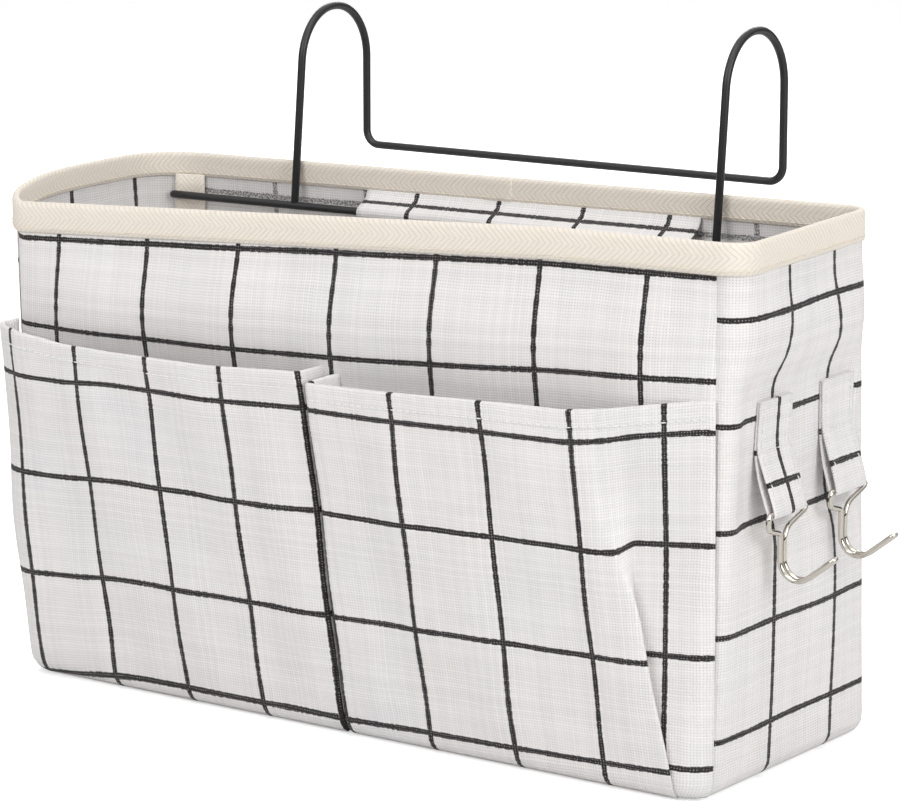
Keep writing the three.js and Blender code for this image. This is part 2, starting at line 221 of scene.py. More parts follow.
def settle(points):
    x, y, z = np.moveaxis(points, -1, 0)
    up = np.clip(z / bag_height, 0, 1)
    right = 0.5 + 0.5 * np.clip(x / half_at(0, z), -1, 1)
    behind = (y + rim_forward * up) / half_at(1, z)
    back = 0.5 + 0.5 * np.clip(behind, -1, 1)

    def mixed(settled, axis):
        front = lerp(settled["front"][0][axis], settled["front"][1][axis], right)
        rear = lerp(settled["back"][0][axis], settled["back"][1][axis], right)
        return lerp(front, rear, back)

    rise = 1 - (1 - up) ** SETTLE_CURVE
    high = smooth(SAG_START, bag_height, z)
    sag = SAG * np.clip(SAG_FROM - x, 0, None) * np.exp(-2 * back * half_at(1, z) / SAG_DEPTH)
    moved = points.copy()
    for axis in (0, 1):
        moved[..., axis] += lerp(mixed(BASE_SETTLED, axis), mixed(RIM_SETTLED, axis), rise)
    moved[..., 2] += high * (BACK_RISE * back * right - sag)
    return moved


rim_corner = on_front(-seam_at(-1, -1, bag_height), bag_height, 0)
print("the front left of the rim settles by", (settle(rim_corner) - rim_corner).round(1), "mm")


# %% Draw the right side in
def hump(value):
    """A soft hump, 1 at zero and nothing beyond -1 and 1."""
    return np.square(1 - np.clip(np.abs(value), 0, 1) ** 2)


DENT = 3.0
DENT_FRONT, DENT_REAR = (-52, -38), (50, 38)  # where the dent starts and where it is full
DENT_TOP, DENT_FOOT = (158, 143), (84, 104)
SWELL = 2.0
SWELL_HEIGHT = 163.0
SWELL_TALL = 18.0


def side_dent(along, z):
    """How far the right side is drawn in behind its loops. Above them it swells out."""
    inside = smooth(*DENT_FRONT, along) * smooth(*DENT_REAR, along)
    drawn = DENT * smooth(*DENT_TOP, z) * smooth(*DENT_FOOT, z)
    return inside * (drawn - SWELL * hump((z - SWELL_HEIGHT) / SWELL_TALL))


print("the right side is drawn in by", DENT, "mm and swells by", SWELL, "mm above")


# %% Pull the print
def relaxed(line, passes):
    """A line of points, or the rows of a grid, with softer corners."""
    for _ in range(passes):
        line = line.copy()
        line[1:-1] = (line[:-2] + 2 * line[1:-1] + line[2:]) / 4
    return line


SIDE_PANES = (41.0, 37.8)  # the side's print: the width and height of its panes
SIDE_FIRST = (-18.5, 134.5)  # and its first crossing
# Pull of the right side's print towards the back: heights, and the pull at its front and rear upright.
SIDE_PULL = ((54, 68, 80, 92, 139, 144, 151, 160, 172, 190),
             (1.0, 1.0, 1.0, 1.0, -1.3, -1.7, -2.4, 0.0, 2.3, 2.0),
             (4.6, 4.7, 3.8, 0.4, 0.9, 2.5, 3.8, 2.0, 0.0, -3.0))
PULL_PASSES = 3
PULL_FADE = (-55, -30)
FRONT_PULL = 0.035  # for each millimetre to the left of its start
FRONT_PULL_START = -52


def side_pull(along, z):
    """How far the right side's cloth is pulled along its wall by the loops."""
    heights, *pulls = SIDE_PULL
    front, rear = (relaxed(np.interp(z, heights, pull), PULL_PASSES) for pull in pulls)
    towards_rear = np.clip((along - SIDE_FIRST[0]) / SIDE_PANES[0], 0, 1)
    return lerp(front, rear, towards_rear) * smooth(*PULL_FADE, along)


def front_pull(along, z):
    """How far the front's cloth is pulled to the right, more towards its left end."""
    return FRONT_PULL * np.clip(FRONT_PULL_START - along, 0, None)


print("the right side's print is pulled by up to", max(map(max, SIDE_PULL[1:])), "mm")

# %% Swell the front and ripple the cloth
FRONT_BULGE = 4.0
BULGE_HEIGHT = 158.0
BULGE_TALL = 30.0
BULGE_EDGE = (160, 110)


def front_bulge(along, z):
    """How far the front swells between the pockets and the rim."""
    inside = smooth(*BULGE_EDGE, np.abs(along))
    return -FRONT_BULGE * inside * hump((z - BULGE_HEIGHT) / BULGE_TALL)


def ripples(along, z, waves):
    """A few long soft waves: height, length, heading in degrees and start of each."""
    total = 0 * along + 0 * z
    for height, length, heading, start in waves:
        angle = math.radians(heading)
        total = total + height * np.sin(
            (along * math.cos(angle) + z * math.sin(angle)) * 2 * math.pi / length + start)
    return total


print("the front swells by", FRONT_BULGE, "mm")

# %% [markdown]
# ## Sheets, threads and wires as meshes
#
# Cloth has two faces and a thickness, and the two faces look different. So a sheet is built from a grid
# of points on its middle: the grid is pushed both ways along its normals and the edge is closed with a
# rounded ring. A cloth map in millimetres goes along, which the weave and the print read.

# %% Make a mesh
def unit(vectors):
    return vectors / np.maximum(np.linalg.norm(vectors, axis=-1, keepdims=True), 1e-9)


def grid_normals(grid):
    return unit(np.cross(np.gradient(grid, axis=1), np.gradient(grid, axis=0)))


def quads(a, b, c, d):
    return np.stack([a, b, c, d], axis=-1).reshape(-1, 4)


def new_object(name, points, faces, maps=None, slots=None):
    mesh = bpy.data.meshes.new(name)
    mesh.from_pydata((np.asarray(points) * MM).tolist(), [], [list(face) for face in faces])
    mesh.polygons.foreach_set("use_smooth", [True] * len(mesh.polygons))
    if slots is not None:
        mesh.polygons.foreach_set("material_index", slots)
    if maps is not None:
        corners = np.zeros(len(mesh.loops), int)
        mesh.loops.foreach_get("vertex_index", corners)
        mesh.uv_layers.new(name="cloth").data.foreach_set("uv", np.asarray(maps)[corners].ravel())
    piece = bpy.data.objects.new(name, mesh)
    bpy.context.scene.collection.objects.link(piece)
    return piece


print("a millimetre is", MM, "m in a mesh")

# %% Build a sheet of cloth
EDGE_ROUND = 0.4  # share of the thickness


def sheet(name, grid, maps, thickness=CLOTH, flip=False):
    rows, columns = grid.shape[:2]
    normal = grid_normals(grid) * (-1 if flip else 1)
    outer = (grid + normal * thickness / 2).reshape(-1, 3)
    inner = (grid - normal * thickness / 2).reshape(-1, 3)
    number = np.arange(rows * columns).reshape(rows, columns)
    edge = np.concatenate([number[0, :-1], number[:-1, -1], number[-1, :0:-1], number[:0:-1, 0]])
    inward = np.concatenate([number[1, :-1], number[:-1, -2], number[-2, :0:-1], number[:0:-1, 1]])
    flat = grid.reshape(-1, 3)
    ring = flat[edge] + unit(flat[edge] - flat[inward]) * thickness * EDGE_ROUND
    count = rows * columns
    bridge = 2 * count + np.arange(len(edge))
    ahead = np.roll(np.arange(len(edge)), -1)
    corner = (number[:-1, :-1], number[:-1, 1:], number[1:, 1:], number[1:, :-1])
    front = quads(*corner)
    back = quads(*corner[::-1]) + count
    rim = np.concatenate([quads(edge[ahead], edge, bridge, bridge[ahead]),
                          quads(bridge[ahead], bridge, edge + count, edge[ahead] + count)])
    faces = np.concatenate([front, back, rim])
    if flip:
        faces = faces[:, ::-1]
    slots = np.repeat((0, 1, 0), (len(front), len(back), len(rim)))
    flat_maps = np.asarray(maps).reshape(-1, 2)
    return new_object(name, np.concatenate([outer, inner, ring]), faces,
                      np.concatenate([flat_maps, flat_maps, flat_maps[edge]]), slots)


print("cloth is", CLOTH, "mm thick and tape", TAPE, "mm")


# %% Sweep a tube along a path
CUT_END = 0.25  # length of a wire's broken edge, as a share of its diameter
CUT_RADIUS = 0.75


def along_path(path):
    """The way along a path at each of its points."""
    steps = np.linalg.norm(np.diff(path, axis=0), axis=1)
    return np.concatenate([[0], np.cumsum(steps)])


def tube_rings(path, radii, sides):
    """Rings of points round a path, carried along without twisting."""
    heading = unit(np.gradient(path, axis=0))
    start = np.eye(3)[np.argmin(np.abs(heading[0]))]
    across = unit(np.cross(heading[0], start))
    angle = np.arange(sides) * 2 * math.pi / sides
    rings = []
    for point, forward, radius in zip(path, heading, radii):
        across = unit(across - forward * (across @ forward))
        beside = np.cross(forward, across)
        around = np.outer(np.cos(angle), across) + np.outer(np.sin(angle), beside)
        rings.append(point + radius * around)
    return np.array(rings)


def tube_faces(rings, sides, first=0):
    number = first + np.arange(rings * sides).reshape(rings, sides)
    turned = np.roll(number, -1, axis=1)
    body = quads(number[:-1], turned[:-1], turned[1:], number[1:]).tolist()
    return body + [number[0, ::-1].tolist(), number[-1].tolist()]


def wire(name, path, diameter, sides=20):
    """A round wire with slightly broken edges at both cut ends."""
    ends = CUT_END * diameter
    first, last = unit(path[0] - path[1]), unit(path[-1] - path[-2])
    start, stop = [path[0], path[0] - first * ends], [path[-1] - last * ends, path[-1]]
    path = np.concatenate([start, path[1:-1], stop])
    radii = np.full(len(path), diameter / 2)
    radii[[0, -1]] *= CUT_RADIUS
    rings = tube_rings(path, radii, sides)
    angle = np.arange(sides) / sides * math.pi * diameter
    maps = stacked(along_path(path)[:, None], angle[None, :])
    return new_object(name, rings.reshape(-1, 3), tube_faces(len(path), sides), maps.reshape(-1, 2))


print("a wire narrows to", CUT_RADIUS, "of its radius at its cut ends")

# %% Bend a wire
BEND_STEP = math.radians(6)


def bent(corners):
    """A path that runs straight between corners, each a point and its bending radius."""
    points = [np.array(point, float) for point, _ in corners]
    path = [points[0]]
    for i in range(1, len(points) - 1):
        back, ahead = unit(points[i - 1] - points[i]), unit(points[i + 1] - points[i])
        turn = math.pi - math.acos(np.clip(back @ ahead, -1, 1))
        radius = corners[i][1]
        centre = points[i] + unit(back + ahead) * radius / math.cos(turn / 2)
        arm = points[i] + back * radius * math.tan(turn / 2) - centre
        axis = Vector(np.cross(ahead, back)).normalized()
        steps = max(2, math.ceil(turn / BEND_STEP))
        for k in range(steps + 1):
            path.append(centre + np.array(Matrix.Rotation(turn * k / steps, 3, axis) @ Vector(arm)))
    return np.array(path + [points[-1]])


print("a right angle is bent in", math.ceil(math.pi / 2 / BEND_STEP), "steps")

# %% Sew a row of stitches
STITCH_SIDES = 6
STITCH_RINGS = 6
STITCH_ARCH = 0.55  # shares of the thread's thickness
STITCH_DIVE = 0.15
STITCH_END = 0.45
STITCH_FULL = 0.6


def stitches(name, path, normals, pitch=3.0, length=2.3, thick=0.5):
    """A row of stitches along a path on a surface: each is a short thread whose ends dive in."""
    way = along_path(path)
    count = int(way[-1] // pitch)
    points, faces, maps = [], [], []
    share = np.linspace(0, 1, STITCH_RINGS)
    for k in range(count):
        places = k * pitch + (pitch - length) / 2 + share * length
        line = np.stack([np.interp(places, way, path[:, axis]) for axis in range(3)], axis=-1)
        lift = np.stack([np.interp(places, way, normals[:, axis]) for axis in range(3)], axis=-1)
        wave = np.sin(math.pi * share)
        arch = thick * (STITCH_ARCH * wave - STITCH_DIVE)
        radii = thick / 2 * lerp(STITCH_END, 1, np.abs(wave) ** STITCH_FULL)
        rings = tube_rings(line + unit(lift) * arch[:, None], radii, STITCH_SIDES)
        faces += tube_faces(STITCH_RINGS, STITCH_SIDES, len(points) * STITCH_RINGS * STITCH_SIDES)
        points.append(rings.reshape(-1, 3))
        maps.append(np.repeat(stacked(places, 0), STITCH_SIDES, axis=0))
    return new_object(name, np.concatenate(points), faces, np.concatenate(maps))


print("a stitch has", STITCH_RINGS, "rings of", STITCH_SIDES, "points")


# %% Dress a piece
def dress(piece, body, slot, materials, *nodes):
    """Gives a piece its finishes and its body, and hides the frame's nodes that it stands for."""
    for material in materials:
        piece.data.materials.append(material)
    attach(piece, body)
    if nodes:
        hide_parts(*nodes)
    print(piece.name, len(piece.data.polygons), "faces")
    return piece


# %% [markdown]
# ## Shader maths in Python
#
# A woven print is mostly arithmetic on the cloth map. One small class wraps a socket, so that an
# expression such as 1 - mask adds its own Math node. Any other node comes from one method.

# %% Wrap a socket
class Socket:
    def __init__(self, tree, link=None):
        self.tree = tree
        self.link = link

    def node(self, kind, settings, inputs, output=0):
        made = self.tree.nodes.new("ShaderNode" + kind)
        for key, value in settings.items():
            setattr(made, key, value)
        for key, value in inputs.items():
            if isinstance(value, Socket):
                self.tree.links.new(value.link, made.inputs[key])
            else:
                made.inputs[key].default_value = value
        return Socket(self.tree, made.outputs[output])

    def math(self, operation, *values):
        return self.node("Math", {"operation": operation}, dict(enumerate((self, *values))))

    def __add__(self, other):
        return self.math("ADD", other)

    __radd__ = __add__

    def __mul__(self, other):
        return self.math("MULTIPLY", other)

    __rmul__ = __mul__

    def __sub__(self, other):
        return self.math("SUBTRACT", other)

    def second(self, operation, other):
        """The operation with this value in second place."""
        return self.node("Math", {"operation": operation}, {0: other, 1: self})

    def __rsub__(self, other):
        return self.second("SUBTRACT", other)

    def __truediv__(self, other):
        return self.math("DIVIDE", other)

    def __rtruediv__(self, other):
        return self.second("DIVIDE", other)

    def __abs__(self):
        return self.math("ABSOLUTE")

    def step(self, low, high):
        """0 below low and 1 above high, with a smooth change between."""
        return self.node("MapRange", {"interpolation_type": "SMOOTHSTEP"},
                         {"Value": self, "From Min": low, "From Max": high})

    def noise(self, scale, detail=2.0):
        return self.node("TexNoise", {}, {"Vector": self, "Scale": scale, "Detail": detail})

    def random(self):
        """A random number for each whole number."""
        return self.node("TexWhiteNoise", {"noise_dimensions": "1D"}, {"W": self.math("FLOOR")})

    def blend(self, low, high):
        """A colour between two, by this value."""
        return self.node("Mix", {"data_type": "RGBA"}, {0: self, 6: low, 7: high}, 2)

    def times(self, value):
        """A colour made lighter or darker by a value."""
        return self.node("VectorMath", {"operation": "SCALE"}, {0: self, 3: value})


print("a socket can", [name for name in vars(Socket) if not name.startswith("_")])


# %% Start a material and feed its shader
def start_material(name):
    material = bpy.data.materials.new(name)
    material.use_nodes = True
    return material, Socket(material.node_tree)


def feed(material, sockets, plain):
    """Links varying inputs of the shader, sets the others on its own sockets, and returns it fed."""
    shader = material.node_tree.nodes["Principled BSDF"]
    for key, socket in sockets.items():
        material.node_tree.links.new(socket.link, shader.inputs[key])
    for key, value in plain.items():
        shader.inputs[key].default_value = value
    return material


def cloth_map(start):
    """The cloth map as a vector and as its two values, in millimetres."""
    place = start.node("UVMap", {"uv_map": "cloth"}, {})
    across = start.node("SeparateXYZ", {}, {0: place}, 0)
    up = start.node("SeparateXYZ", {}, {0: place}, 1)
    return place, across, up


def raised(start, height, distance, strength=1.0):
    """A bump of the height, at most a distance in millimetres."""
    return start.node("Bump", {}, {"Height": height, "Distance": distance * MM, "Strength": strength})


print("a bump of 1 mm is", MM, "m in the shader")

# %% [markdown]
# ## Printed linen
#
# The cloth is a coarse plain weave, one thread over and one under, with pinholes between the threads.
# Black lines are printed over it as window panes. Ink stays on top of the threads, so a line's edge
# steps from thread to thread and pinholes stay pale. Outside the lines, shade is painted into the
# colour: the pinholes are darker, more so where the weave is more open, and so are the low parts of the
# threads. On the reverse only some of the ink shows through. The panes differ a little from piece to
# piece.

# %% Weave the threads
WARP = 1.15
WEFT = 1.02
HOLES = (0.30, 0.72)


def weave(across, up):
    """Height of the threads and mask of the pinholes."""
    warp = (across * (math.pi / WARP)).math("SINE")
    weft = (up * (math.pi / WEFT)).math("SINE")
    over = warp * weft
    height = (abs(warp) * (over * 0.4 + 0.6)).math("MAXIMUM", abs(weft) * (0.6 - over * 0.4))
    pinhole = ((1 - abs(warp)) * (1 - abs(weft))).step(*HOLES)
    return height, pinhole


print("linen threads are", WARP, "and", WEFT, "mm apart")

# %% Print the panes
LINE_WIDTH = 2.15
LINE_DRIFT = 1.6
LINE_SOFT = 0.14
LINE_RAGGED = 0.3


def pane_lines(place, across, up, panes, first, slope):
    """Mask of the printed lines, for a pane's size, a first crossing and a slope of the levels."""
    drift = (place.noise(0.012, 1.0) - 0.5) * LINE_DRIFT
    thread_up = (up / WEFT).random()
    thread_across = (across / WARP).random()
    to_upright = (across - first[0] + drift).math("PINGPONG", panes[0] / 2)
    to_level = (up - first[1] - across * slope + drift * 0.7).math("PINGPONG", panes[1] / 2)
    edge = LINE_WIDTH / 2 + LINE_SOFT, LINE_WIDTH / 2 - LINE_SOFT
    upright = (to_upright + (thread_up - 0.5) * LINE_RAGGED).step(*edge)
    level = (to_level + (thread_across - 0.5) * LINE_RAGGED).step(*edge)
    return upright.math("MAXIMUM", level)


print("printed lines are", LINE_WIDTH, "mm wide")

# %% Make the linen
WANDER = 1.6  # how far the threads wander
# Painted shade in the pinholes, deeper where the weave is more open.
HOLE_SHADE = (0.34, 0.12)  # how much it varies from place to place, and the least
THREAD_SHADE = 0.055
LINEN = (0.80, 0.775, 0.765, 1)
LINEN_COOL = (0.765, 0.765, 0.79, 1)
LINEN_WARM = (0.82, 0.785, 0.755, 1)
INK = (0.026, 0.023, 0.023, 1)
INK_WORN = (0.075, 0.07, 0.07, 1)


def linen(name, panes, first, slope=0.0, reverse=False):
    material, start = start_material(name)
    place, across, up = cloth_map(start)
    warp_at = across + (place.noise(0.05) - 0.5) * WANDER
    weft_at = up + (place.noise(0.043) - 0.5) * WANDER
    height, pinhole = weave(warp_at, weft_at)
    ink = pane_lines(place, across, up, panes, first, slope)
    grain = place.noise(1.3, 3.0)
    if reverse:
        ink = ink * (grain.step(0.40, 0.60) * 0.5 + 0.3)
    else:
        ink = ink * (1 - pinhole * grain.step(0.36, 0.56) * 0.9)
    clouds = place.noise(0.03, 3.0).blend(LINEN_COOL, LINEN_WARM)
    cloth = place.noise(0.011, 2.0).step(0.3, 0.7).blend(LINEN, clouds)
    threads = ((warp_at / WARP).random() + (weft_at / WEFT).random() - 1.0) * THREAD_SHADE
    # Painted shade: the pinholes are darker, more so where the weave is more open, and the threads are
    # darker where they lie low.
    open_weave_shade = place.noise(0.07, 2.0).step(0.3, 0.7) * HOLE_SHADE[0] + HOLE_SHADE[1]
    shade = (1.0 + threads) * (1 - pinhole * open_weave_shade) * (height * 0.10 + 0.93)
    cloth = cloth.times(shade)
    worn = (grain * 0.8 + (weft_at / WEFT).random() * 0.25).step(0.45, 0.95)
    colour = ink.blend(cloth, worn.blend(INK, INK_WORN))
    return feed(material, {"Base Color": colour, "Normal": raised(start, height, 0.35, 0.55)},
                {"Roughness": 0.9, "Specular IOR Level": 0.2,
                 "Sheen Weight": 0.08, "Sheen Roughness": 0.5})


def both_faces(name, panes, first, slope=0.0):
    return linen(name, panes, first, slope), linen(name + "_reverse", panes, first, slope, True)


print("threads wander by up to", WANDER / 2, "mm")

# %% Give each piece its panes
WALL_PANES = (44.6, 36.3)
LEFT_PANES = (37.2, 39.2)
RIGHT_PANES = (38.6, 40.4)
SLEEVE_PANES = (38.5, 37.2)

front_print, front_reverse = both_faces("linen_front", WALL_PANES, (-7.4, 149.9), 0.006)
back_print, back_reverse = both_faces("linen_back", WALL_PANES, (-16.2, 147.9))
side_print, side_reverse = both_faces("linen_side", SIDE_PANES, SIDE_FIRST)
left_side_print = linen("linen_left_side", SIDE_PANES, (-9.5, SIDE_FIRST[1]))
left_print, left_reverse = both_faces("linen_left_pocket", LEFT_PANES, (0.0, 13.0))
right_print, right_reverse = both_faces("linen_right_pocket", RIGHT_PANES, (0.0, 9.6))
sleeve_print, sleeve_reverse = both_faces("linen_sleeve", SLEEVE_PANES, (3.2, 6.5))
print("panes of the front are", WALL_PANES, "mm, of the sides", SIDE_PANES, "mm")

# %% [markdown]
# ## Herringbone tape, thread and wire
#
# The rim and the inner seams are bound with cream cotton tape. Its diagonal ribs turn back at the
# middle of each stripe, which makes the chevrons. A ping-pong of the width gives the turn, and a sine
# of the diagonal gives the ribs. The grooves between the ribs and the dips between the strands are
# painted darker, as shade. The hanger is powder coated, with the fine skin that such paint has.
# The hooks are plated, and show faint drawing marks along the wire.

# %% Make the tape and the thread
STRIPE = 5.8
RIB = 2.4
STRAND = 0.6
RIB_SLOPE = 1.05
THREAD_TWIST = 0.45
TWILL = (0.83, 0.765, 0.68, 1)
# The colour of the painted shade in the grooves between the ribs.
TWILL_SHADE = (0.62, 0.54, 0.44, 1)


def herringbone(name):
    material, start = start_material(name)
    place, across, up = cloth_map(start)
    fold = up.math("PINGPONG", STRIPE)
    jitter = (place.noise(0.25, 2.0) - 0.5) * 1.1
    diagonal = (across + fold * RIB_SLOPE + jitter) * (2 * math.pi / RIB)
    rib = diagonal.math("SINE") * 0.5 + 0.5
    strand = abs((fold * (math.pi / STRAND)).math("SINE"))
    grain = place.noise(0.9, 3.0)
    # Painted shade: the grooves between the ribs are darker, by an amount that varies from place to
    # place, and the strands are darker between their tops.
    groove = (1 - rib).step(0.66, 1.0)
    groove_shade_strength = (place.noise(0.04, 2.0) * 0.6 + 0.65) * (grain * 0.9 + 0.25)
    colour = (groove * groove_shade_strength * 0.55).blend(TWILL, TWILL_SHADE)
    shade = (grain * 0.12 + 0.94) * (strand * 0.04 + 0.97)
    height = strand * 0.2 - groove * 0.8
    return feed(material, {"Base Color": colour.times(shade),
                           "Normal": raised(start, height, 0.3, 0.6)},
                {"Roughness": 0.86, "Specular IOR Level": 0.22,
                 "Sheen Weight": 0.1, "Sheen Roughness": 0.5})


def cotton_thread(name, colour):
    material, start = start_material(name)
    place, across, up = cloth_map(start)
    twist = abs(((across + up * 0.6) * (math.pi / THREAD_TWIST)).math("SINE"))
    # The twist shapes the bump, and its grooves are also painted darker in the colour, as shade. The
    # noise adds a random tone.
    shade = (twist * 0.12 + 0.9) * (place.noise(1.5) * 0.1 + 0.95)
    cream = shade.blend((0, 0, 0, 1), colour)
    return feed(material, {"Base Color": cream, "Normal": raised(start, twist, 0.12)},
                {"Roughness": 0.7, "Specular IOR Level": 0.3})


twill = herringbone("herringbone_tape")
cream_thread = cotton_thread("cream_thread", (0.86, 0.78, 0.66, 1))
white_thread = cotton_thread("white_thread", (0.90, 0.89, 0.87, 1))
print("chevrons are", 2 * STRIPE, "mm wide, ribs", RIB, "mm apart")

# %% Make the wire finishes
BLACK = (0.012, 0.012, 0.013, 1)
BLACK_DUSTY = (0.022, 0.022, 0.023, 1)
NICKEL = (0.56, 0.525, 0.47, 1)
NICKEL_BRIGHT = (0.70, 0.665, 0.60, 1)
DRAWING_MARKS = (0.08, 3.0, 1.0)  # long along the wire and fine round it


def powder_coat(name):
    material, start = start_material(name)
    place, _, _ = cloth_map(start)
    orange_peel = place.noise(2.2, 2.0)
    dust = place.noise(0.6, 4.0).step(0.62, 0.85)
    colour = dust.blend(BLACK, BLACK_DUSTY)
    roughness = orange_peel * 0.14 + 0.30 + dust * 0.12
    return feed(material, {"Base Color": colour, "Roughness": roughness,
                           "Normal": raised(start, orange_peel, 0.05, 0.5)},
                {"Specular IOR Level": 0.5})


def plated_nickel(name):
    material, start = start_material(name)
    place, _, _ = cloth_map(start)
    cloud = place.noise(0.3, 3.0)
    marks = place.node("VectorMath", {"operation": "MULTIPLY"}, {0: place, 1: DRAWING_MARKS})
    drawn = marks.noise(1.0, 3.0)
    colour = cloud.blend(NICKEL, NICKEL_BRIGHT)
    roughness = drawn * 0.07 + cloud * 0.05 + 0.05
    return feed(material, {"Base Color": colour, "Roughness": roughness,
                           "Normal": raised(start, drawn, 0.01, 0.4)}, {"Metallic": 1.0})


black_coat = powder_coat("black_powder_coat")
nickel = plated_nickel("plated_nickel")
print("wire finishes:", black_coat.name, "and", nickel.name)

# %% [markdown]
# ## The four walls and the base
#
# Each wall is a sheet over rows that start under the rolled foot and climb to the rim. The front and
# back panels reach a little way round their corners, and the side panels take up the rest. The cloth
# sinks beside every seam, because the sewing pulls it in. Lower down the front's and back's print lines
# hang in a bow.

# %% Set out a wall
RIM_AIR = 0.4
WALL_TOP = bag_height - TAPE - RIM_AIR
SEAM_SINK = 0.9
SEAM_SOFT = 2.6
CALM_FOOT, CALM_RIM, CALM_SEAM = 40, 30, 25  # the ripples fade over these lengths
ROLL_ROWS = 6
WALL_ROWS = 50


def wall_rows():
    """Inset, height and place on the cloth map of each row, from under the rolled foot upwards."""
    turn = np.linspace(math.pi / 2, 0, ROLL_ROWS)[:-1]
    middle = BOTTOM_ROLL - CLOTH / 2
    straight = np.linspace(BOTTOM_ROLL, WALL_TOP, WALL_ROWS)
    inset = np.concatenate([BOTTOM_ROLL - middle * np.cos(turn), np.full(WALL_ROWS, CLOTH / 2)])
    height = np.concatenate([BOTTOM_ROLL - middle * np.sin(turn), straight])
    mapped = np.concatenate([BOTTOM_ROLL * (1 - turn), straight])
    return inset[:, None], height[:, None], mapped[:, None]


def wall_ends(place, which, z):
    """The two seams of the front or back, or of the left or right side: which is -1 or 1."""
    if place is on_front:
        return -seam_at(-1, which, z), seam_at(1, which, z)
    return -side_reach(which, -1, z), side_reach(which, 1, z)


def soft_wall(along, before, after, z, waves):
    """How far a wall's cloth lies inside its flat shape: sunk beside its seams, rippled between."""
    from_seam = np.minimum(along - before, after - along)
    calm = smooth(0, CALM_FOOT, z) * smooth(WALL_TOP, WALL_TOP - CALM_RIM, z)
    calm = calm * smooth(0, CALM_SEAM, from_seam)
    return SEAM_SINK * np.exp(-np.square(from_seam / SEAM_SOFT)) + ripples(along, z, waves) * calm


print("a wall has", len(wall_rows()[0]), "rows and sinks by", SEAM_SINK, "mm at its seams")

# %% Sew the walls
FRONT_COLUMNS = 104
SIDE_COLUMNS = 46
PRINT_BOW = 4.6  # how far the lower print lines hang down
BOW_AT = -35.0
BOW_REACH = 215.0
BOW_START, BOW_FULL = 10, 50  # below the top
FRONT_WAVES = [(0.5, 90, 8, 0.4), (0.35, 61, -14, 1.9), (0.25, 140, 75, 0.8)]
SIDE_WAVES = [(0.6, 70, 20, 1.1), (0.4, 95, -30, 0.3), (0.3, 120, 80, 2.2)]


def sewn_panel(name, place, which, columns, waves, bow, dent, pull):
    """A wall between two seams, as a sheet, and its cut size."""
    inset, z, mapped = wall_rows()
    before, after = wall_ends(place, which, z)
    along = lerp(before, after, np.linspace(0, 1, columns)[None, :])
    soft = soft_wall(along, before, after, z, waves)
    grid = settle(place(along, z, inset + soft + dent(along, z), which))
    hanging = bow * hump((along - BOW_AT) / BOW_REACH) * smooth(-BOW_START, -BOW_FULL, z - WALL_TOP)
    maps = stacked(along - pull(along, z), mapped + hanging)
    panel = sheet(name, grid, maps, flip=(which > 0) == (place is on_front))
    return panel, (float((after - before).mean()) * MM, along_path(grid[:, columns // 2])[-1] * MM)


def plain_wall(along, z):
    """No dent and no pull."""
    return 0


LONG_WALL = (FRONT_COLUMNS, FRONT_WAVES, PRINT_BOW)
SHORT_WALL = (SIDE_COLUMNS, SIDE_WAVES, 0)
WALLS = (("front", on_front, -1, LONG_WALL, front_bulge, front_pull, (front_print, front_reverse)),
         ("back", on_front, 1, LONG_WALL, plain_wall, plain_wall, (back_print, back_reverse)),
         ("left_side", on_side, -1, SHORT_WALL, plain_wall, plain_wall, [left_side_print] * 2),
         ("right_side", on_side, 1, SHORT_WALL, side_dent, side_pull, (side_print, side_reverse)))
for name, place, which, build, dent, pull, faces in WALLS:
    panel, cut = sewn_panel(name + "_cloth", place, which, *build, dent, pull)
    dress(panel, "bag", "linen", faces, name + "_panel")

# %% Sew the base
BASE_ROWS = 22
BASE_COLUMNS = 48
BASE_LIFT = 0.25


def base_cloth():
    corner = CORNER_AT_BASE - BOTTOM_ROLL
    half = base_half - BOTTOM_ROLL
    y = np.linspace(-1, 1, BASE_ROWS)[:, None] * half[1]
    into = np.maximum(np.abs(y) - half[1] + corner, 0)
    reach = half[0] - corner + np.sqrt(np.maximum(corner ** 2 - into ** 2, 0))
    x = np.linspace(-1, 1, BASE_COLUMNS)[None, :] * reach
    z = CLOTH / 2 + BASE_LIFT * hump(x / half[0]) * hump(y / half[1])
    return sheet("base_cloth", settle(stacked(x, y, z)), stacked(x, y)), tuple(2 * half * MM)


base, cut = base_cloth()
dress(base, "bag", "linen", (front_reverse, front_print), "base_panel")

# %% [markdown]
# ## Tape on the rim and the seams
#
# A strip of tape is folded over the raw edge of all four walls and sewn through both legs. It is joined
# at the middle of the back, where its end lies over its start. Four more strips cover the corner seams
# on the inside, from the rolled foot up to the rim.

# %% Go round the rim
BINDING_STEP = 2.8
CORNER_STATIONS = 12
LAP_STATIONS = 6
LAP = 0.06  # share of the back's half width where the tape's end lies over its start


def rim_stations():
    """Stations once round the rim: side, end, and the shares of straight, turned and side run."""
    stations = []
    for side, end, going in ((1, 1, 1), (1, -1, -1), (-1, -1, 1), (-1, 1, -1)):
        straight = int(half_at(0, bag_height) / BINDING_STEP)
        flank = int(half_at(1, bag_height) / BINDING_STEP)
        part = [(side, end, -share, 0, 0) for share in np.linspace(1, 0, straight)[:-1]]
        part += [(side, end, 0, turn, 0) for turn in np.linspace(0, math.pi / 2, CORNER_STATIONS)]
        part += [(side, end, 0, math.pi / 2, share) for share in np.linspace(0, 1, flank)[1:]]
        part = part[::going]
        stations += part[1:] if stations else part
    lap = [(1, 1, -share, 0, 0) for share in np.linspace(1, 1 - LAP, LAP_STATIONS)[1:]]
    return [np.array(column)[None, :] for column in zip(*(stations + lap))]


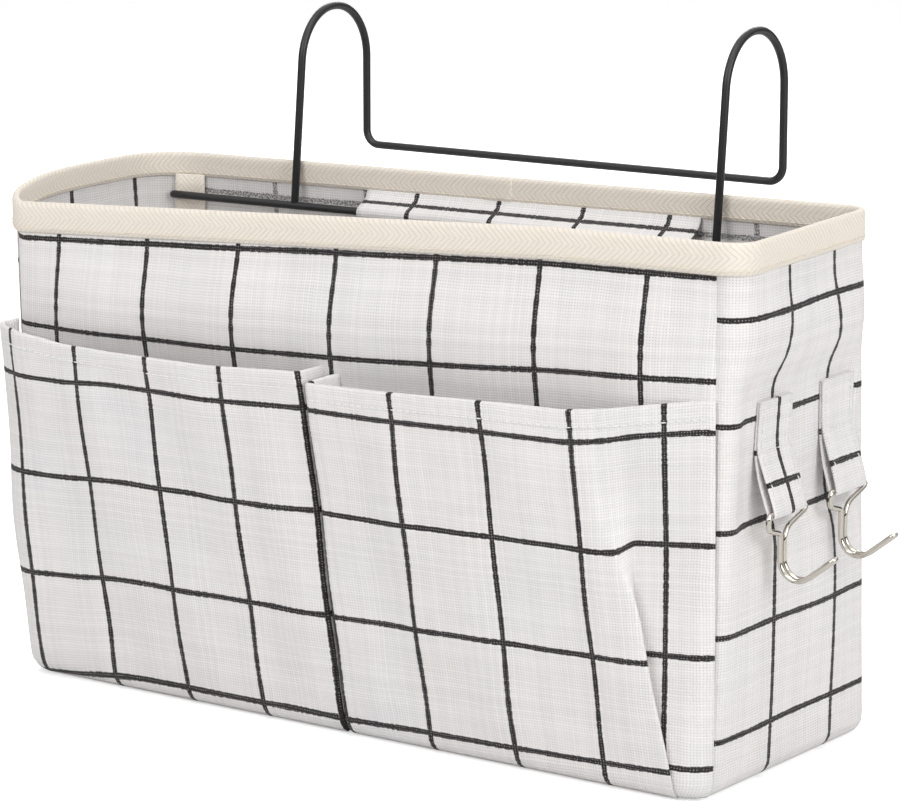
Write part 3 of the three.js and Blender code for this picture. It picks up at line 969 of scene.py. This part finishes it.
def on_rim(stations, z, inset):
    """Settled points at the stations round the rim."""
    side, end, straight, turn, flank = stations
    corner = corner_at(side, end, z)
    run = straight * (half_at(0, z) - corner) + turn * corner + flank * (half_at(1, z) - corner)
    return settle(wall(side, end, run, z, inset))


stations = rim_stations()
print("the rim has", stations[0].size, "stations with its lap")

# %% Fold the tape over the rim
FOLD_ROWS = 7
LEG_ROWS = 5
LAP_LIFT, LAP_LIFT_INSIDE = 1.05, 0.3
TAPE_AIR = 0.05
INNER_LEG_UP = 2.0


def binding():
    offset = CLOTH / 2 + TAPE / 2 + TAPE_AIR
    fold_height = bag_height - offset - TAPE / 2
    turn = np.linspace(0, math.pi, FOLD_ROWS)
    feet = binding_foot, binding_foot + INNER_LEG_UP
    outer, inner = (np.linspace(foot, fold_height, LEG_ROWS)[:-1] for foot in feet)
    straight = np.ones(LEG_ROWS - 1)
    z = np.concatenate([outer, fold_height + offset * np.sin(turn), inner[::-1]])[:, None]
    spread = np.concatenate([-straight, -np.cos(turn), straight])[:, None]
    last = stations[0].shape[1] - 1
    at_lap = smooth(last - LAP_STATIONS - 1, last - LAP_STATIONS + 1, np.arange(last + 1))[None, :]
    lapped = at_lap * np.where(spread < 0, LAP_LIFT, LAP_LIFT_INSIDE)
    grid = on_rim(stations, z, CLOTH / 2 + (offset + lapped) * spread)
    section = np.concatenate([spread * offset, z], axis=-1)
    way, up = along_path(grid[LEG_ROWS]), along_path(section)
    tape = sheet("rim_tape", grid, stacked(way[None, :], up[:, None]), TAPE, flip=True)
    return tape, grid, (way[-1] * MM, up[-1] * MM)


rim_tape, rim_grid, cut = binding()
dress(rim_tape, "bag", "twill", (twill, twill), "rim_binding")

# %% Cover the corner seams inside
TAPE_WIDTH = 14.0
TAPE_ROWS = 36
TAPE_COLUMNS = 9
UNDER_RIM = 2.0
SEAM_AIR = 0.1


def seam_tape(name, side, end):
    z = np.linspace(BOTTOM_ROLL, binding_foot + UNDER_RIM, TAPE_ROWS)[:, None]
    across = np.linspace(-TAPE_WIDTH / 2, TAPE_WIDTH / 2, TAPE_COLUMNS)[None, :]
    run = seam_at(side, end, z) - half_at(0, z) + corner_at(side, end, z) + across
    grid = settle(wall(side, end, run, z, CLOTH + SEAM_AIR + TAPE / 2 + SEAM_SINK))
    return sheet(name, grid, stacked(z, across + TAPE_WIDTH / 2), TAPE, flip=side * end < 0)


for end_name, end in (("front", -1), ("back", 1)):
    for side_name, side in (("left", -1), ("right", 1)):
        name = end_name + "_" + side_name + "_seam_tape"
        tape = dress(seam_tape(name + "_twill", side, end), "bag", "twill", (twill, twill), name)
        (binding_foot - BOTTOM_ROLL) * MM

# %% [markdown]
# ## The two pockets
#
# A pocket's plan at a height is a line of corners, each a way along the front wall and a distance from
# it. The left pocket stands out at both ends. The right one stands out at the middle and is tucked at
# its right end, in a pleat that opens towards the mouth. The line between them leans to the left. The
# mouth is hemmed: the cloth goes over the edge and a little way down inside. The print lines start at
# the fold in the middle. To the right of the pleat they keep their distance from the seam.

# %% Count the rows of a pocket
POCKET_MOUTH = 138.0
POCKET_ROWS = 44
FOOT_TURNS = np.radians((50, 30, 12))
HEM_FOLD = 0.65
HEM_TURNS = np.radians((35, 90, 145))
HEM_ROWS = 5
HEM_DOWN = (2, 12)  # the way along the cloth from the mouth


def below_mouth():
    """How far each row of a pocket lies below its mouth, along the cloth."""
    ups = np.linspace(0, 1, POCKET_ROWS)
    foot = POCKET_MOUTH + BOTTOM_ROLL * (FOOT_TURNS - 1)
    body = (POCKET_MOUTH - BOTTOM_ROLL) * (1 - ups)
    inside = -np.linspace(*HEM_DOWN, HEM_ROWS - 1)
    return np.concatenate([foot, body, -HEM_FOLD * HEM_TURNS, inside])[:, None]


print("a pocket has", len(below_mouth()), "rows with its foot and its hem")

# %% Plan the left pocket
SEAT = 0.7
FOOT_STAND_OUT = 3.2
LEFT_STAND_OUT = 14.0
MIDDLE_STAND_OUT = 17.0
STAND_OUT_CURVE = 0.85
POCKET_BULGE = 2.0
LEFT_ROUND = 12.0
FOLD_AT_FOOT = 3.3
FOLD_AT_MOUTH = -9.5
FOLD_GAP = 2.4
PLAN_PASSES = 2
LEFT_STEPS = (5, 7, 60, 8)  # columns between the corners of its plan


def through(corners, steps):
    """Points along the straight pieces between corners."""
    ends = np.array(corners, float)
    pieces = [np.linspace(a, b, count, endpoint=False) for a, b, count in zip(ends, ends[1:], steps)]
    return np.concatenate(pieces + [ends[-1:]])


def bulged(line, start, stop, full):
    """The line, fuller between two of its points."""
    line[start:stop + 1, 1] += POCKET_BULGE * full * np.sin(np.linspace(0, math.pi, stop - start + 1))
    return line


def left_plan(up):
    seam = -seam_at(-1, -1, up * POCKET_MOUTH)
    fold = lerp(FOLD_AT_FOOT, FOLD_AT_MOUTH, up) - FOLD_GAP
    full = up ** STAND_OUT_CURVE
    out, middle = (lerp(FOOT_STAND_OUT, stand, full) for stand in (LEFT_STAND_OUT, MIDDLE_STAND_OUT))
    corners = [(seam, SEAT), (seam, out / 2), (seam + LEFT_ROUND, out), (fold, middle), (fold, SEAT)]
    line = bulged(through(corners, LEFT_STEPS), sum(LEFT_STEPS[:2]), sum(LEFT_STEPS[:3]), full)
    return relaxed(line, PLAN_PASSES)


print("the left pocket stands out by", left_plan(1)[:, 1].max().round(1), "mm at its mouth")

# %% Plan the right pocket
RIGHT_STAND_OUT = 11.0
RIGHT_STEPS = (8, 54, 14, 18)
GUSSET_LEAN = 4.0
PLEAT_TOP = 0.97
PLEAT_FULL = 0.45
CREASE_TOP = 0.80
CREASE_AT_FOOT = 148.0
CREASE_AT_TOP = 120.0
TUCK_AT_FOOT = 6.5
TUCK_AT_TOP = 3.2
RETURN_START = 0.7
UNDER_AIR = 0.2


def right_plan(up):
    seam = seam_at(1, -1, up * POCKET_MOUTH)
    fold = lerp(FOLD_AT_FOOT, FOLD_AT_MOUTH, up)
    full = up ** STAND_OUT_CURVE
    out, near = (lerp(FOOT_STAND_OUT, stand, full) for stand in (MIDDLE_STAND_OUT, RIGHT_STAND_OUT))
    pleat = smooth(PLEAT_TOP, PLEAT_FULL, up)
    climb = min(up / CREASE_TOP, 1)
    crease = lerp(CREASE_AT_FOOT, CREASE_AT_TOP, climb)
    tuck = lerp(TUCK_AT_FOOT, TUCK_AT_TOP, climb)
    turn = lerp(np.array([lerp(fold, seam, RETURN_START), near]), np.array([crease, near]), pleat)
    slack = np.array([turn[0] + seam, near]) / 2
    under = lerp(slack, np.array([crease - tuck, SEAT + CLOTH + UNDER_AIR]), pleat)
    corners = [(fold + GUSSET_LEAN * up, SEAT), (fold, out), turn, under, (seam, SEAT)]
    line = bulged(through(corners, RIGHT_STEPS), RIGHT_STEPS[0], sum(RIGHT_STEPS[:2]), full)
    return relaxed(line, PLAN_PASSES)


print("the right pocket stands out by", right_plan(1)[:, 1].max().round(1), "mm at its mouth")

# %% Shape a pocket's cloth
FOOT_FADE = math.radians(75)
POCKET_WAVES = [(0.55, 62, 28, 0.3), (0.4, 41, -38, 1.2), (0.3, 27, 12, 2.6)]
LOOSE_OUT = (SEAT + 1.5, SEAT + 5)  # the cloth ripples where it stands out
LOOSE_TOP = (1, 0.85)


def pocket_body(plan, mouth):
    """A pocket's grid of points, from its foot to its mouth."""
    foot = plan(0)
    rows = []
    for turn in FOOT_TURNS:
        out = foot[:, 1] * (1 - turn / FOOT_FADE)
        z = BOTTOM_ROLL - (BOTTOM_ROLL + out) * math.sin(turn)
        rows.append(on_front(foot[:, 0], z, BOTTOM_ROLL - (BOTTOM_ROLL + out) * math.cos(turn)))
    for up in np.linspace(0, 1, POCKET_ROWS):
        along, out = plan(up).T
        z = lerp(BOTTOM_ROLL, mouth, up)
        loose = smooth(*LOOSE_OUT, out) * smooth(*LOOSE_TOP, up)
        rows.append(on_front(along, z, -out - loose * ripples(along, z, POCKET_WAVES)))
    return settle(np.array(rows))


def hemmed(body):
    """The grid with its hem, which goes over the mouth and down inside."""
    inward = -grid_normals(body)
    rise = unit(body[-1] - body[-2])
    hem = [body[-1] + HEM_FOLD * ((1 - math.cos(turn)) * inward[-1] + math.sin(turn) * rise)
           for turn in HEM_TURNS]
    hem += [body[-k] + 2 * HEM_FOLD * inward[-k] for k in range(1, HEM_ROWS)]
    return np.concatenate([body, hem])


print("the hem goes over the mouth in a radius of", HEM_FOLD, "mm")

# %% Lay the print on a pocket
STRIP_LINE = 4  # the print line to the right of the pleat, counted from the fold
STRIP_AT = 18.5  # its distance from the seam


def pocket(name, plan, mouth, fold_at, lines, pane, pulled, strip=0):
    """A pocket's sheet, its grid of points without the hem, and its cut size."""
    body = pocket_body(plan, mouth)
    grid = hemmed(body)
    across = np.array([along_path(row) for row in grid])
    from_seam = across[:, -1:] - across
    cut = (float(np.ptp(across, axis=1).mean()) * MM, along_path(grid[:, fold_at])[-1] * MM)
    below = below_mouth()
    up = np.clip(1 - below / POCKET_MOUTH, 0, 1)
    first, width, gathered = (lerp(lines[0][k], lines[1][k], up) for k in range(3))
    panes = (across - across[:, fold_at:fold_at + 1] - first) / width
    panes = lerp(panes + gathered * panes ** 2, STRIP_LINE + (STRIP_AT - from_seam) / pane, strip)
    return sheet(name, grid, stacked(pane * panes, below + pulled)), body, cut


print("to the right of the pleat, print line", STRIP_LINE, "is", STRIP_AT, "mm from the seam")

# %% Sew the left pocket
# Ways along the front, and the height of the mouth at each.
LEFT_MOUTH = ((-160, -150, -135, -125, -100, -55, -13), (146.5, 145, 143, 141.5, 140.4, 139.3, 140.5))
LEFT_DROOP = -5.3  # shift of the print at the left end
DROOP_FROM = (-95, -160)
# The first line, the pane's width and its gathering, at the foot and at the mouth.
LEFT_LINES = ((1.5, 37.6, 0), (0.3, 35.3, 0))

left_mouth = np.interp(left_plan(1)[:, 0], *LEFT_MOUTH)
left_fold = sum(LEFT_STEPS[:3])
drooping = LEFT_DROOP * smooth(*DROOP_FROM, left_plan(1)[:, 0])
left_pocket, left_body, cut = pocket(
    "left_pocket_cloth", left_plan, left_mouth, left_fold, LEFT_LINES, LEFT_PANES[0], drooping)
dress(left_pocket, "bag", "linen", (left_print, left_reverse), "left_pocket")

# %% Sew the right pocket
RIGHT_MOUTH = ((-11, 22, 62, 99, 116, 132, 152), (136.5, 136.2, 136.5, 136, 137.5, 140, 143))
GUSSET_MOUTH = 138.0
STRIP_LIFT = 1.2  # shift of the print to the right of the pleat
RIGHT_TWIST = 6.0  # how far the print turns up towards the right at the foot
TWIST_PIVOT = 0.3
RIGHT_LINES = ((0.0, 38.7, 0), (-1.2, 39.2, 0.0148))

right_fold, crease_at, strip_at = np.cumsum(RIGHT_STEPS[:3])
right_mouth = np.interp(right_plan(1)[:, 0], *RIGHT_MOUTH)
right_mouth[:right_fold] = np.linspace(
    GUSSET_MOUTH, right_mouth[right_fold], right_fold, endpoint=False)
columns = np.arange(sum(RIGHT_STEPS) + 1)
in_strip = smooth(crease_at, strip_at, columns)
to_crease = np.clip((columns - right_fold) / RIGHT_STEPS[1], 0, 1)
twisted = RIGHT_TWIST * to_crease * (below_mouth() / POCKET_MOUTH - TWIST_PIVOT)
right_pocket, right_body, cut = pocket(
    "right_pocket_cloth", right_plan, right_mouth, right_fold, RIGHT_LINES, RIGHT_PANES[0],
    STRIP_LIFT * in_strip + twisted, in_strip)
dress(right_pocket, "bag", "linen", (right_print, right_reverse), "right_pocket")

# %% [markdown]
# ## The hanger and its sleeve
#
# The hanger is one black wire: up from the bar, over the bed rail, down, across the back and home the
# same way. Its bar is welded across the feet. It lies in a sleeve that is sewn to the back wall above
# and below it.

# %% Bend the hanger
HANGER_WIRE = 3.2
ARCH_RISE = 79.0
RAIL_GAP = 44.0
CROSSBAR_RISE = {-1: 19.8, 1: 18.2}
CROSSBAR_BEND = 6.0
ARCH_FLAT = 0.9
LEAN = math.radians(5.8)
BAR_SHORT = 1.0  # how far the bar's left end stays clear of the settled cloth
BAR_RINGS = 40
UPRIGHT_FOOT = 0.6

bar_low, bar_high = box_mm("hanger_bar")
_, hanger_high = box_mm("hanger_frame")
bar_y, bar_z = (bar_low + bar_high)[1:] / 2
upright_x = hanger_high[0] - HANGER_WIRE / 2


def hanger_half(side):
    turn = math.pi / 2 - LEAN
    arch = (RAIL_GAP - ARCH_FLAT) / (math.tan(turn / 2) + 1)
    top = ARCH_RISE * math.tan(LEAN)
    corners = [(0, UPRIGHT_FOOT, 0), (top, ARCH_RISE, arch), (top + RAIL_GAP, ARCH_RISE, arch),
               (top + RAIL_GAP, CROSSBAR_RISE[side], CROSSBAR_BEND)]
    return [((side * upright_x, bar_y + y, bar_z + z), bend) for y, z, bend in corners]


frame_path = bent(hanger_half(-1) + hanger_half(1)[::-1])
bar_path = stacked(np.linspace(bar_low[0] + BAR_SHORT, bar_high[0], BAR_RINGS), bar_y, bar_z)
for name, path, node in (("hanger_wire", frame_path, "hanger_frame"),
                         ("hanger_bar_wire", bar_path, "hanger_bar")):
    dress(wire(name, path, HANGER_WIRE), "hanger", "black_coat", [black_coat], node)

# %% Sew the sleeve
SLEEVE_COLUMNS = 52
SLEEVE_SLANT = 0.05
BAR_PLAY = 0.5
SLEEVE_SEWN = np.array((2.0, -1.5))  # rows above the binding's foot
SLEEVE_TURN = np.radians((20, 150))
TURN_ROWS = 9
TAIL_START = 13.0
TAIL_ROWS = 7
LAYER_AIR = 0.15
sleeve_low, sleeve_high = box_mm("bar_sleeve")


def sleeve():
    z_tail = np.linspace(bar_z - TAIL_START, sleeve_low[2], TAIL_ROWS)
    x = np.linspace(sleeve_low[0], sleeve_high[0], SLEEVE_COLUMNS)[None, :]
    turn = np.linspace(*SLEEVE_TURN, TURN_ROWS)[:, None]
    reach = HANGER_WIRE / 2 + BAR_PLAY + CLOTH / 2
    seat = CLOTH + LAYER_AIR + CLOTH / 2

    def on_back(z):
        z = z[:, None] + 0 * x
        return settle(on_front(x + SLEEVE_SLANT * (z - bar_z), z, seat, 1))

    over, out = reach * np.cos(turn), reach * np.sin(turn)
    around = stacked(x + SLEEVE_SLANT * over, bar_y - out, bar_z + over)
    around[..., 0] += on_back(np.array([bar_z]))[..., 0] - x
    grid = relaxed(np.concatenate([on_back(binding_foot + SLEEVE_SEWN), around, on_back(z_tail)]), 1)
    way = along_path(grid[:, SLEEVE_COLUMNS // 2])
    cloth = sheet("sleeve_cloth", grid, stacked(x, way[:, None]), flip=True)
    return cloth, grid, (float(np.ptp(x)) * MM, way[-1] * MM)


sleeve_cloth, sleeve_grid, cut = sleeve()
dress(sleeve_cloth, "bag", "linen", (sleeve_print, sleeve_reverse), "bar_sleeve")

# %% [markdown]
# ## Hooks in their loops
#
# Each hook is one nickel wire bent double. Its split bar lies in a doubled strip of cloth that is sewn
# to the side wall, a little behind its hook. The strip follows the drawn-in wall as far as its stitches
# go, and then hangs free, at a slant.

# %% Bend the hooks
HOOK_WIRE = 2.0
HOOK_BEND = 2.0
SHOULDER_BEND = 1.8
BAR_SPLIT = 0.25
HOOK_SIDES = 14
NECK_AT = -3.5
NECK_BEND = {-1: 2.0, 1: 6.5}
SHOULDER_DROP = {-1: 5.5, 1: 2.4}
NECK_DROP = {-1: 8.0, 1: 7.0}
HALF_PAIR = 1.6  # half the distance between the two strands of the wire
HOOK_DROP = 32.0
HOOK_REACH = 21.5
TIP_RISE = math.tan(math.radians(38))
BOTTOM_BEND = 7.0


def hook_bar(hook):
    """The middle of a hook's bar, and half its length."""
    low, high = box_mm(hook)
    middle = (low[0] + HOOK_WIRE / 2, (low[1] + high[1]) / 2, high[2] - HOOK_WIRE / 2)
    return np.array(middle), (high - low)[1] / 2


def hook_half(hook, side):
    bar, half = hook_bar(hook)
    out, pair = side * (half - HOOK_WIRE / 2), NECK_AT + side * HALF_PAIR
    corners = [(0, side * BAR_SPLIT, 0, 0), (0, out, 0, HOOK_BEND),
               (0, out, -SHOULDER_DROP[side], SHOULDER_BEND),
               (0, pair, -NECK_DROP[side], NECK_BEND[side]), (0, pair, -HOOK_DROP, BOTTOM_BEND),
               (HOOK_REACH, pair, HOOK_REACH * TIP_RISE - HOOK_DROP, HALF_PAIR)]
    return [(bar + np.array((x, y, z)), bend) for x, y, z, bend in corners]


for hook, body in (("front_hook", "hook_front"), ("rear_hook", "hook_rear")):
    path = bent(hook_half(hook, -1) + hook_half(hook, 1)[::-1])
    dress(wire(hook + "_wire", path, HOOK_WIRE, HOOK_SIDES), body, "nickel", [nickel], hook)

# %% Sew the loops
LOOP_TOP = 140.0
LOOP_SEWN = 122.0
LOOP_WIDTH = 23.0
LOOP_COLUMNS = 13
SEWN_ROWS = 7
FREE_ROWS = 8
EYE_ROWS = 11
LOOP_LAYERS = (0.1 + CLOTH / 2, 0.15 + 1.5 * CLOTH)  # out from the wall, for both layers
LOOP_SLACK = (-0.9, 0.3)
PRINT_AT = 13.0
LOOP_SLANT = {"front_hook": 3.0, "rear_hook": 4.5}  # how far behind its hook a loop is sewn on
LOOP_UPRIGHT = {"front_hook": -20.0, "rear_hook": 1.0}  # place of its middle on the print


def on_right(along, z, out):
    """A settled point at a distance out from the right wall."""
    sunk = soft_wall(along, *wall_ends(on_side, 1, z), z, SIDE_WAVES) + side_dent(along, z)
    return settle(on_side(along, z, sunk - out))


def hook_loop(hook):
    """A loop's sheet, the grid of its outer face, and its cut size."""
    bar, _ = hook_bar(hook)
    middle = bar[1] + LOOP_SLANT[hook] - settle(on_side(0, LOOP_SEWN, 0))[1]
    across = np.linspace(-LOOP_WIDTH / 2, LOOP_WIDTH / 2, LOOP_COLUMNS)[None, :]
    z = np.linspace(LOOP_TOP, LOOP_SEWN, SEWN_ROWS)[:, None] + 0 * across
    inner, outer = (on_right(middle + across + 0 * z, z, layer) for layer in LOOP_LAYERS)
    reach = HOOK_WIRE / 2 + LAYER_AIR + CLOTH / 2
    turn = np.linspace(math.pi, 2 * math.pi, EYE_ROWS)[:, None]
    eye = stacked(bar[0] + reach * np.cos(turn), bar[1] + across, bar[2] + reach * np.sin(turn))
    share = np.linspace(0, 1, FREE_ROWS)[1:-1, None, None]
    bow = np.sin(math.pi * share) * np.array([1.0, 0, 0])
    down = lerp(inner[-1], eye[0], share) + LOOP_SLACK[0] * bow
    back = lerp(eye[-1], outer[-1], share) + LOOP_SLACK[1] * bow
    grid = relaxed(np.concatenate([inner, down, eye, back, outer[::-1]]), 2)
    way = along_path(grid[:, LOOP_COLUMNS // 2])
    eye_row = SEWN_ROWS + FREE_ROWS - 2
    fold = way[eye_row + EYE_ROWS // 2]
    maps = stacked(across + LOOP_UPRIGHT[hook], (way - fold + SIDE_FIRST[1] - PRINT_AT)[:, None])
    loop = sheet(hook + "_loop_cloth", grid, maps)
    return loop, grid[eye_row + EYE_ROWS:], (LOOP_WIDTH * MM, way[-1] * MM)


loop_faces = {}
for hook in LOOP_SLANT:
    loop, loop_faces[hook], cut = hook_loop(hook)
    dress(loop, "bag", "linen", (side_print, side_reverse), hook + "_loop")

# %% [markdown]
# ## Stitches
#
# Rows of thread hold the tape, the hems and the loops. Each stitch is a short piece of thread of its
# own, which dives into the cloth at both ends.

# %% Sew the visible rows
SMALL_STITCH = {"pitch": 2.6, "length": 2.0}
HEM_STITCH = 5.5
HEM_ROW = HEM_STITCH / (POCKET_MOUTH - BOTTOM_ROLL) * (POCKET_ROWS - 1)  # rows below the mouth
HEM_ROUND = 4  # columns of the left hem's row that lie in the rounding
RIM_ROW = 0.55  # rows from either edge of the tape
SLEEVE_ROW = 0.7  # rows from the lower edge of the sleeve
ROW_STEP = 0.2
LOOP_SEAMS = {"front": np.s_[:, 1], "rear": np.s_[:, -2], "cross": np.s_[-SEWN_ROWS, 1:-1]}


def sew(name, grid, row, lift, thread, slot):
    """Stitches along a place between two rows of a grid, lifted to the face of its cloth."""
    before, after = grid[int(row)], grid[int(row) + 1]
    place, step = lerp(before, after, row % 1), ROW_STEP * (after - before)
    normals = grid_normals(np.array([place - step, place, place + step]))[1] * np.sign(lift)
    dress(stitches(name, place + normals * abs(lift), normals), "bag", slot, [thread])


for name, row in (("outside", RIM_ROW), ("inside", len(rim_grid) - 1 - RIM_ROW)):
    sew("rim_stitches_" + name, rim_grid, row, -TAPE / 2, cream_thread, "twill")
left_hem = left_body[:, sum(LEFT_STEPS[:2]) - HEM_ROUND:left_fold - 1]
right_hem = right_body[:, right_fold + 1:]
for name, grid, edge in (("left_hem", left_hem, HEM_ROW), ("right_hem", right_hem, HEM_ROW),
                         ("sleeve", sleeve_grid, SLEEVE_ROW)):
    sew(name + "_stitches", grid, len(grid) - 1 - edge, CLOTH / 2, white_thread, "linen")
for hook, face in loop_faces.items():
    normals = grid_normals(face)
    for name, row in LOOP_SEAMS.items():
        path = face[row] + normals[row] * CLOTH / 2
        made = stitches(hook + "_loop_" + name + "_stitches", path, normals[row], **SMALL_STITCH)
        dress(made, "bag", "linen", [white_thread])

# %% [markdown]
# ## Studio
#
# A pale room lights the caddy softly from all sides. Large lamps on the right, in front, above and
# behind add some shape. Mirror-like metal sees a room that is dark all round and bright above, which
# draws lines on the wires. The camera sees a white room and a white floor, which keeps the shadow.

# %% Light the room
ROOM_LIGHT = 0.48
DARK_ROUND = 0.03
BRIGHT_ABOVE = (0.05, 0.55)

scene = bpy.context.scene
scene.view_settings.view_transform = "Standard"
world = bpy.data.worlds.new("studio")
scene.world = world
world.use_nodes = True
room = Socket(world.node_tree)
seen = room.node("LightPath", {}, {}, "Is Camera Ray")
shiny = room.node("LightPath", {}, {}, "Is Glossy Ray")
let_through = room.node("LightPath", {}, {}, "Is Transmission Ray")
above = room.node("SeparateXYZ", {}, {0: room.node("TexCoord", {}, {}, "Generated")}, "Z")
mirrored = above.step(*BRIGHT_ABOVE) * (1.0 - DARK_ROUND) + DARK_ROUND
spread = (seen + let_through).math("MINIMUM", 1.0) * (1.0 - ROOM_LIGHT) + ROOM_LIGHT
strength = shiny * mirrored + (1.0 - shiny) * spread
background = world.node_tree.nodes["Background"]
background.inputs["Color"].default_value = (1, 1, 1, 1)
world.node_tree.links.new(strength.link, background.inputs["Strength"])
print("the room lights with", ROOM_LIGHT, "of white")

# %% Hang the lamps
LAMP_SIZE = 1.4
LAMP_AIM = Vector((0, 0, 0.1))
LAMPS = {"key_lamp": ((2.0, -0.5, 1.0), 20), "fill_lamp": ((-0.3, -2.0, 1.2), 14.5),
         "top_lamp": ((0.2, -0.5, 2.0), 11), "back_lamp": ((-1.0, 1.9, 1.3), 22)}  # place and power

for name, (place, power) in LAMPS.items():
    lamp = bpy.data.lights.new(name, "AREA")
    lamp.shape = "DISK"
    lamp.size = LAMP_SIZE
    lamp.energy = power
    hung = bpy.data.objects.new(name, lamp)
    hung.location = place
    hung.rotation_euler = (LAMP_AIM - Vector(place)).to_track_quat("-Z", "Y").to_euler()
    scene.collection.objects.link(hung)
    print(name, power, "W")

# %% Lay the floor
FLOOR_HALF = 6.0
FLOOR_DROP = 0.2  # keeps it clear of the base's underside
FLOOR_WHITE = 0.9
FLOOR_BOUNCE = 0.78
FLOOR_GLOW = 0.52


def grey(value):
    return value, value, value, 1


def floor():
    corners = [(x * FLOOR_HALF, y * FLOOR_HALF, 0) for x, y in ((-1, -1), (1, -1), (1, 1), (-1, 1))]
    mesh = bpy.data.meshes.new("floor")
    mesh.from_pydata(corners, [], [(0, 1, 2, 3)])
    made = bpy.data.objects.new("floor", mesh)
    made.location.z = -FLOOR_DROP * MM
    scene.collection.objects.link(made)
    material, start = start_material("white_floor")
    seen = start.node("LightPath", {}, {}, "Is Camera Ray")
    colour = seen.blend(grey(FLOOR_BOUNCE), grey(FLOOR_WHITE))
    glow = seen.blend(grey(0), grey(FLOOR_GLOW))
    feed(material, {"Base Color": colour, "Emission Color": glow},
         {"Roughness": 0.9, "Specular IOR Level": 0.0, "Emission Strength": 1.0})
    mesh.materials.append(material)
    made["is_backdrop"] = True
    print("the floor is", 2 * FLOOR_HALF, "m wide")


floor()

# %% Compare the sizes and finish
low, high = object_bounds()
for name, span in (("visual", high - low), ("cad", cad_high - cad_low)):
    print(name, "box", [round(x / MM) for x in span], "mm")
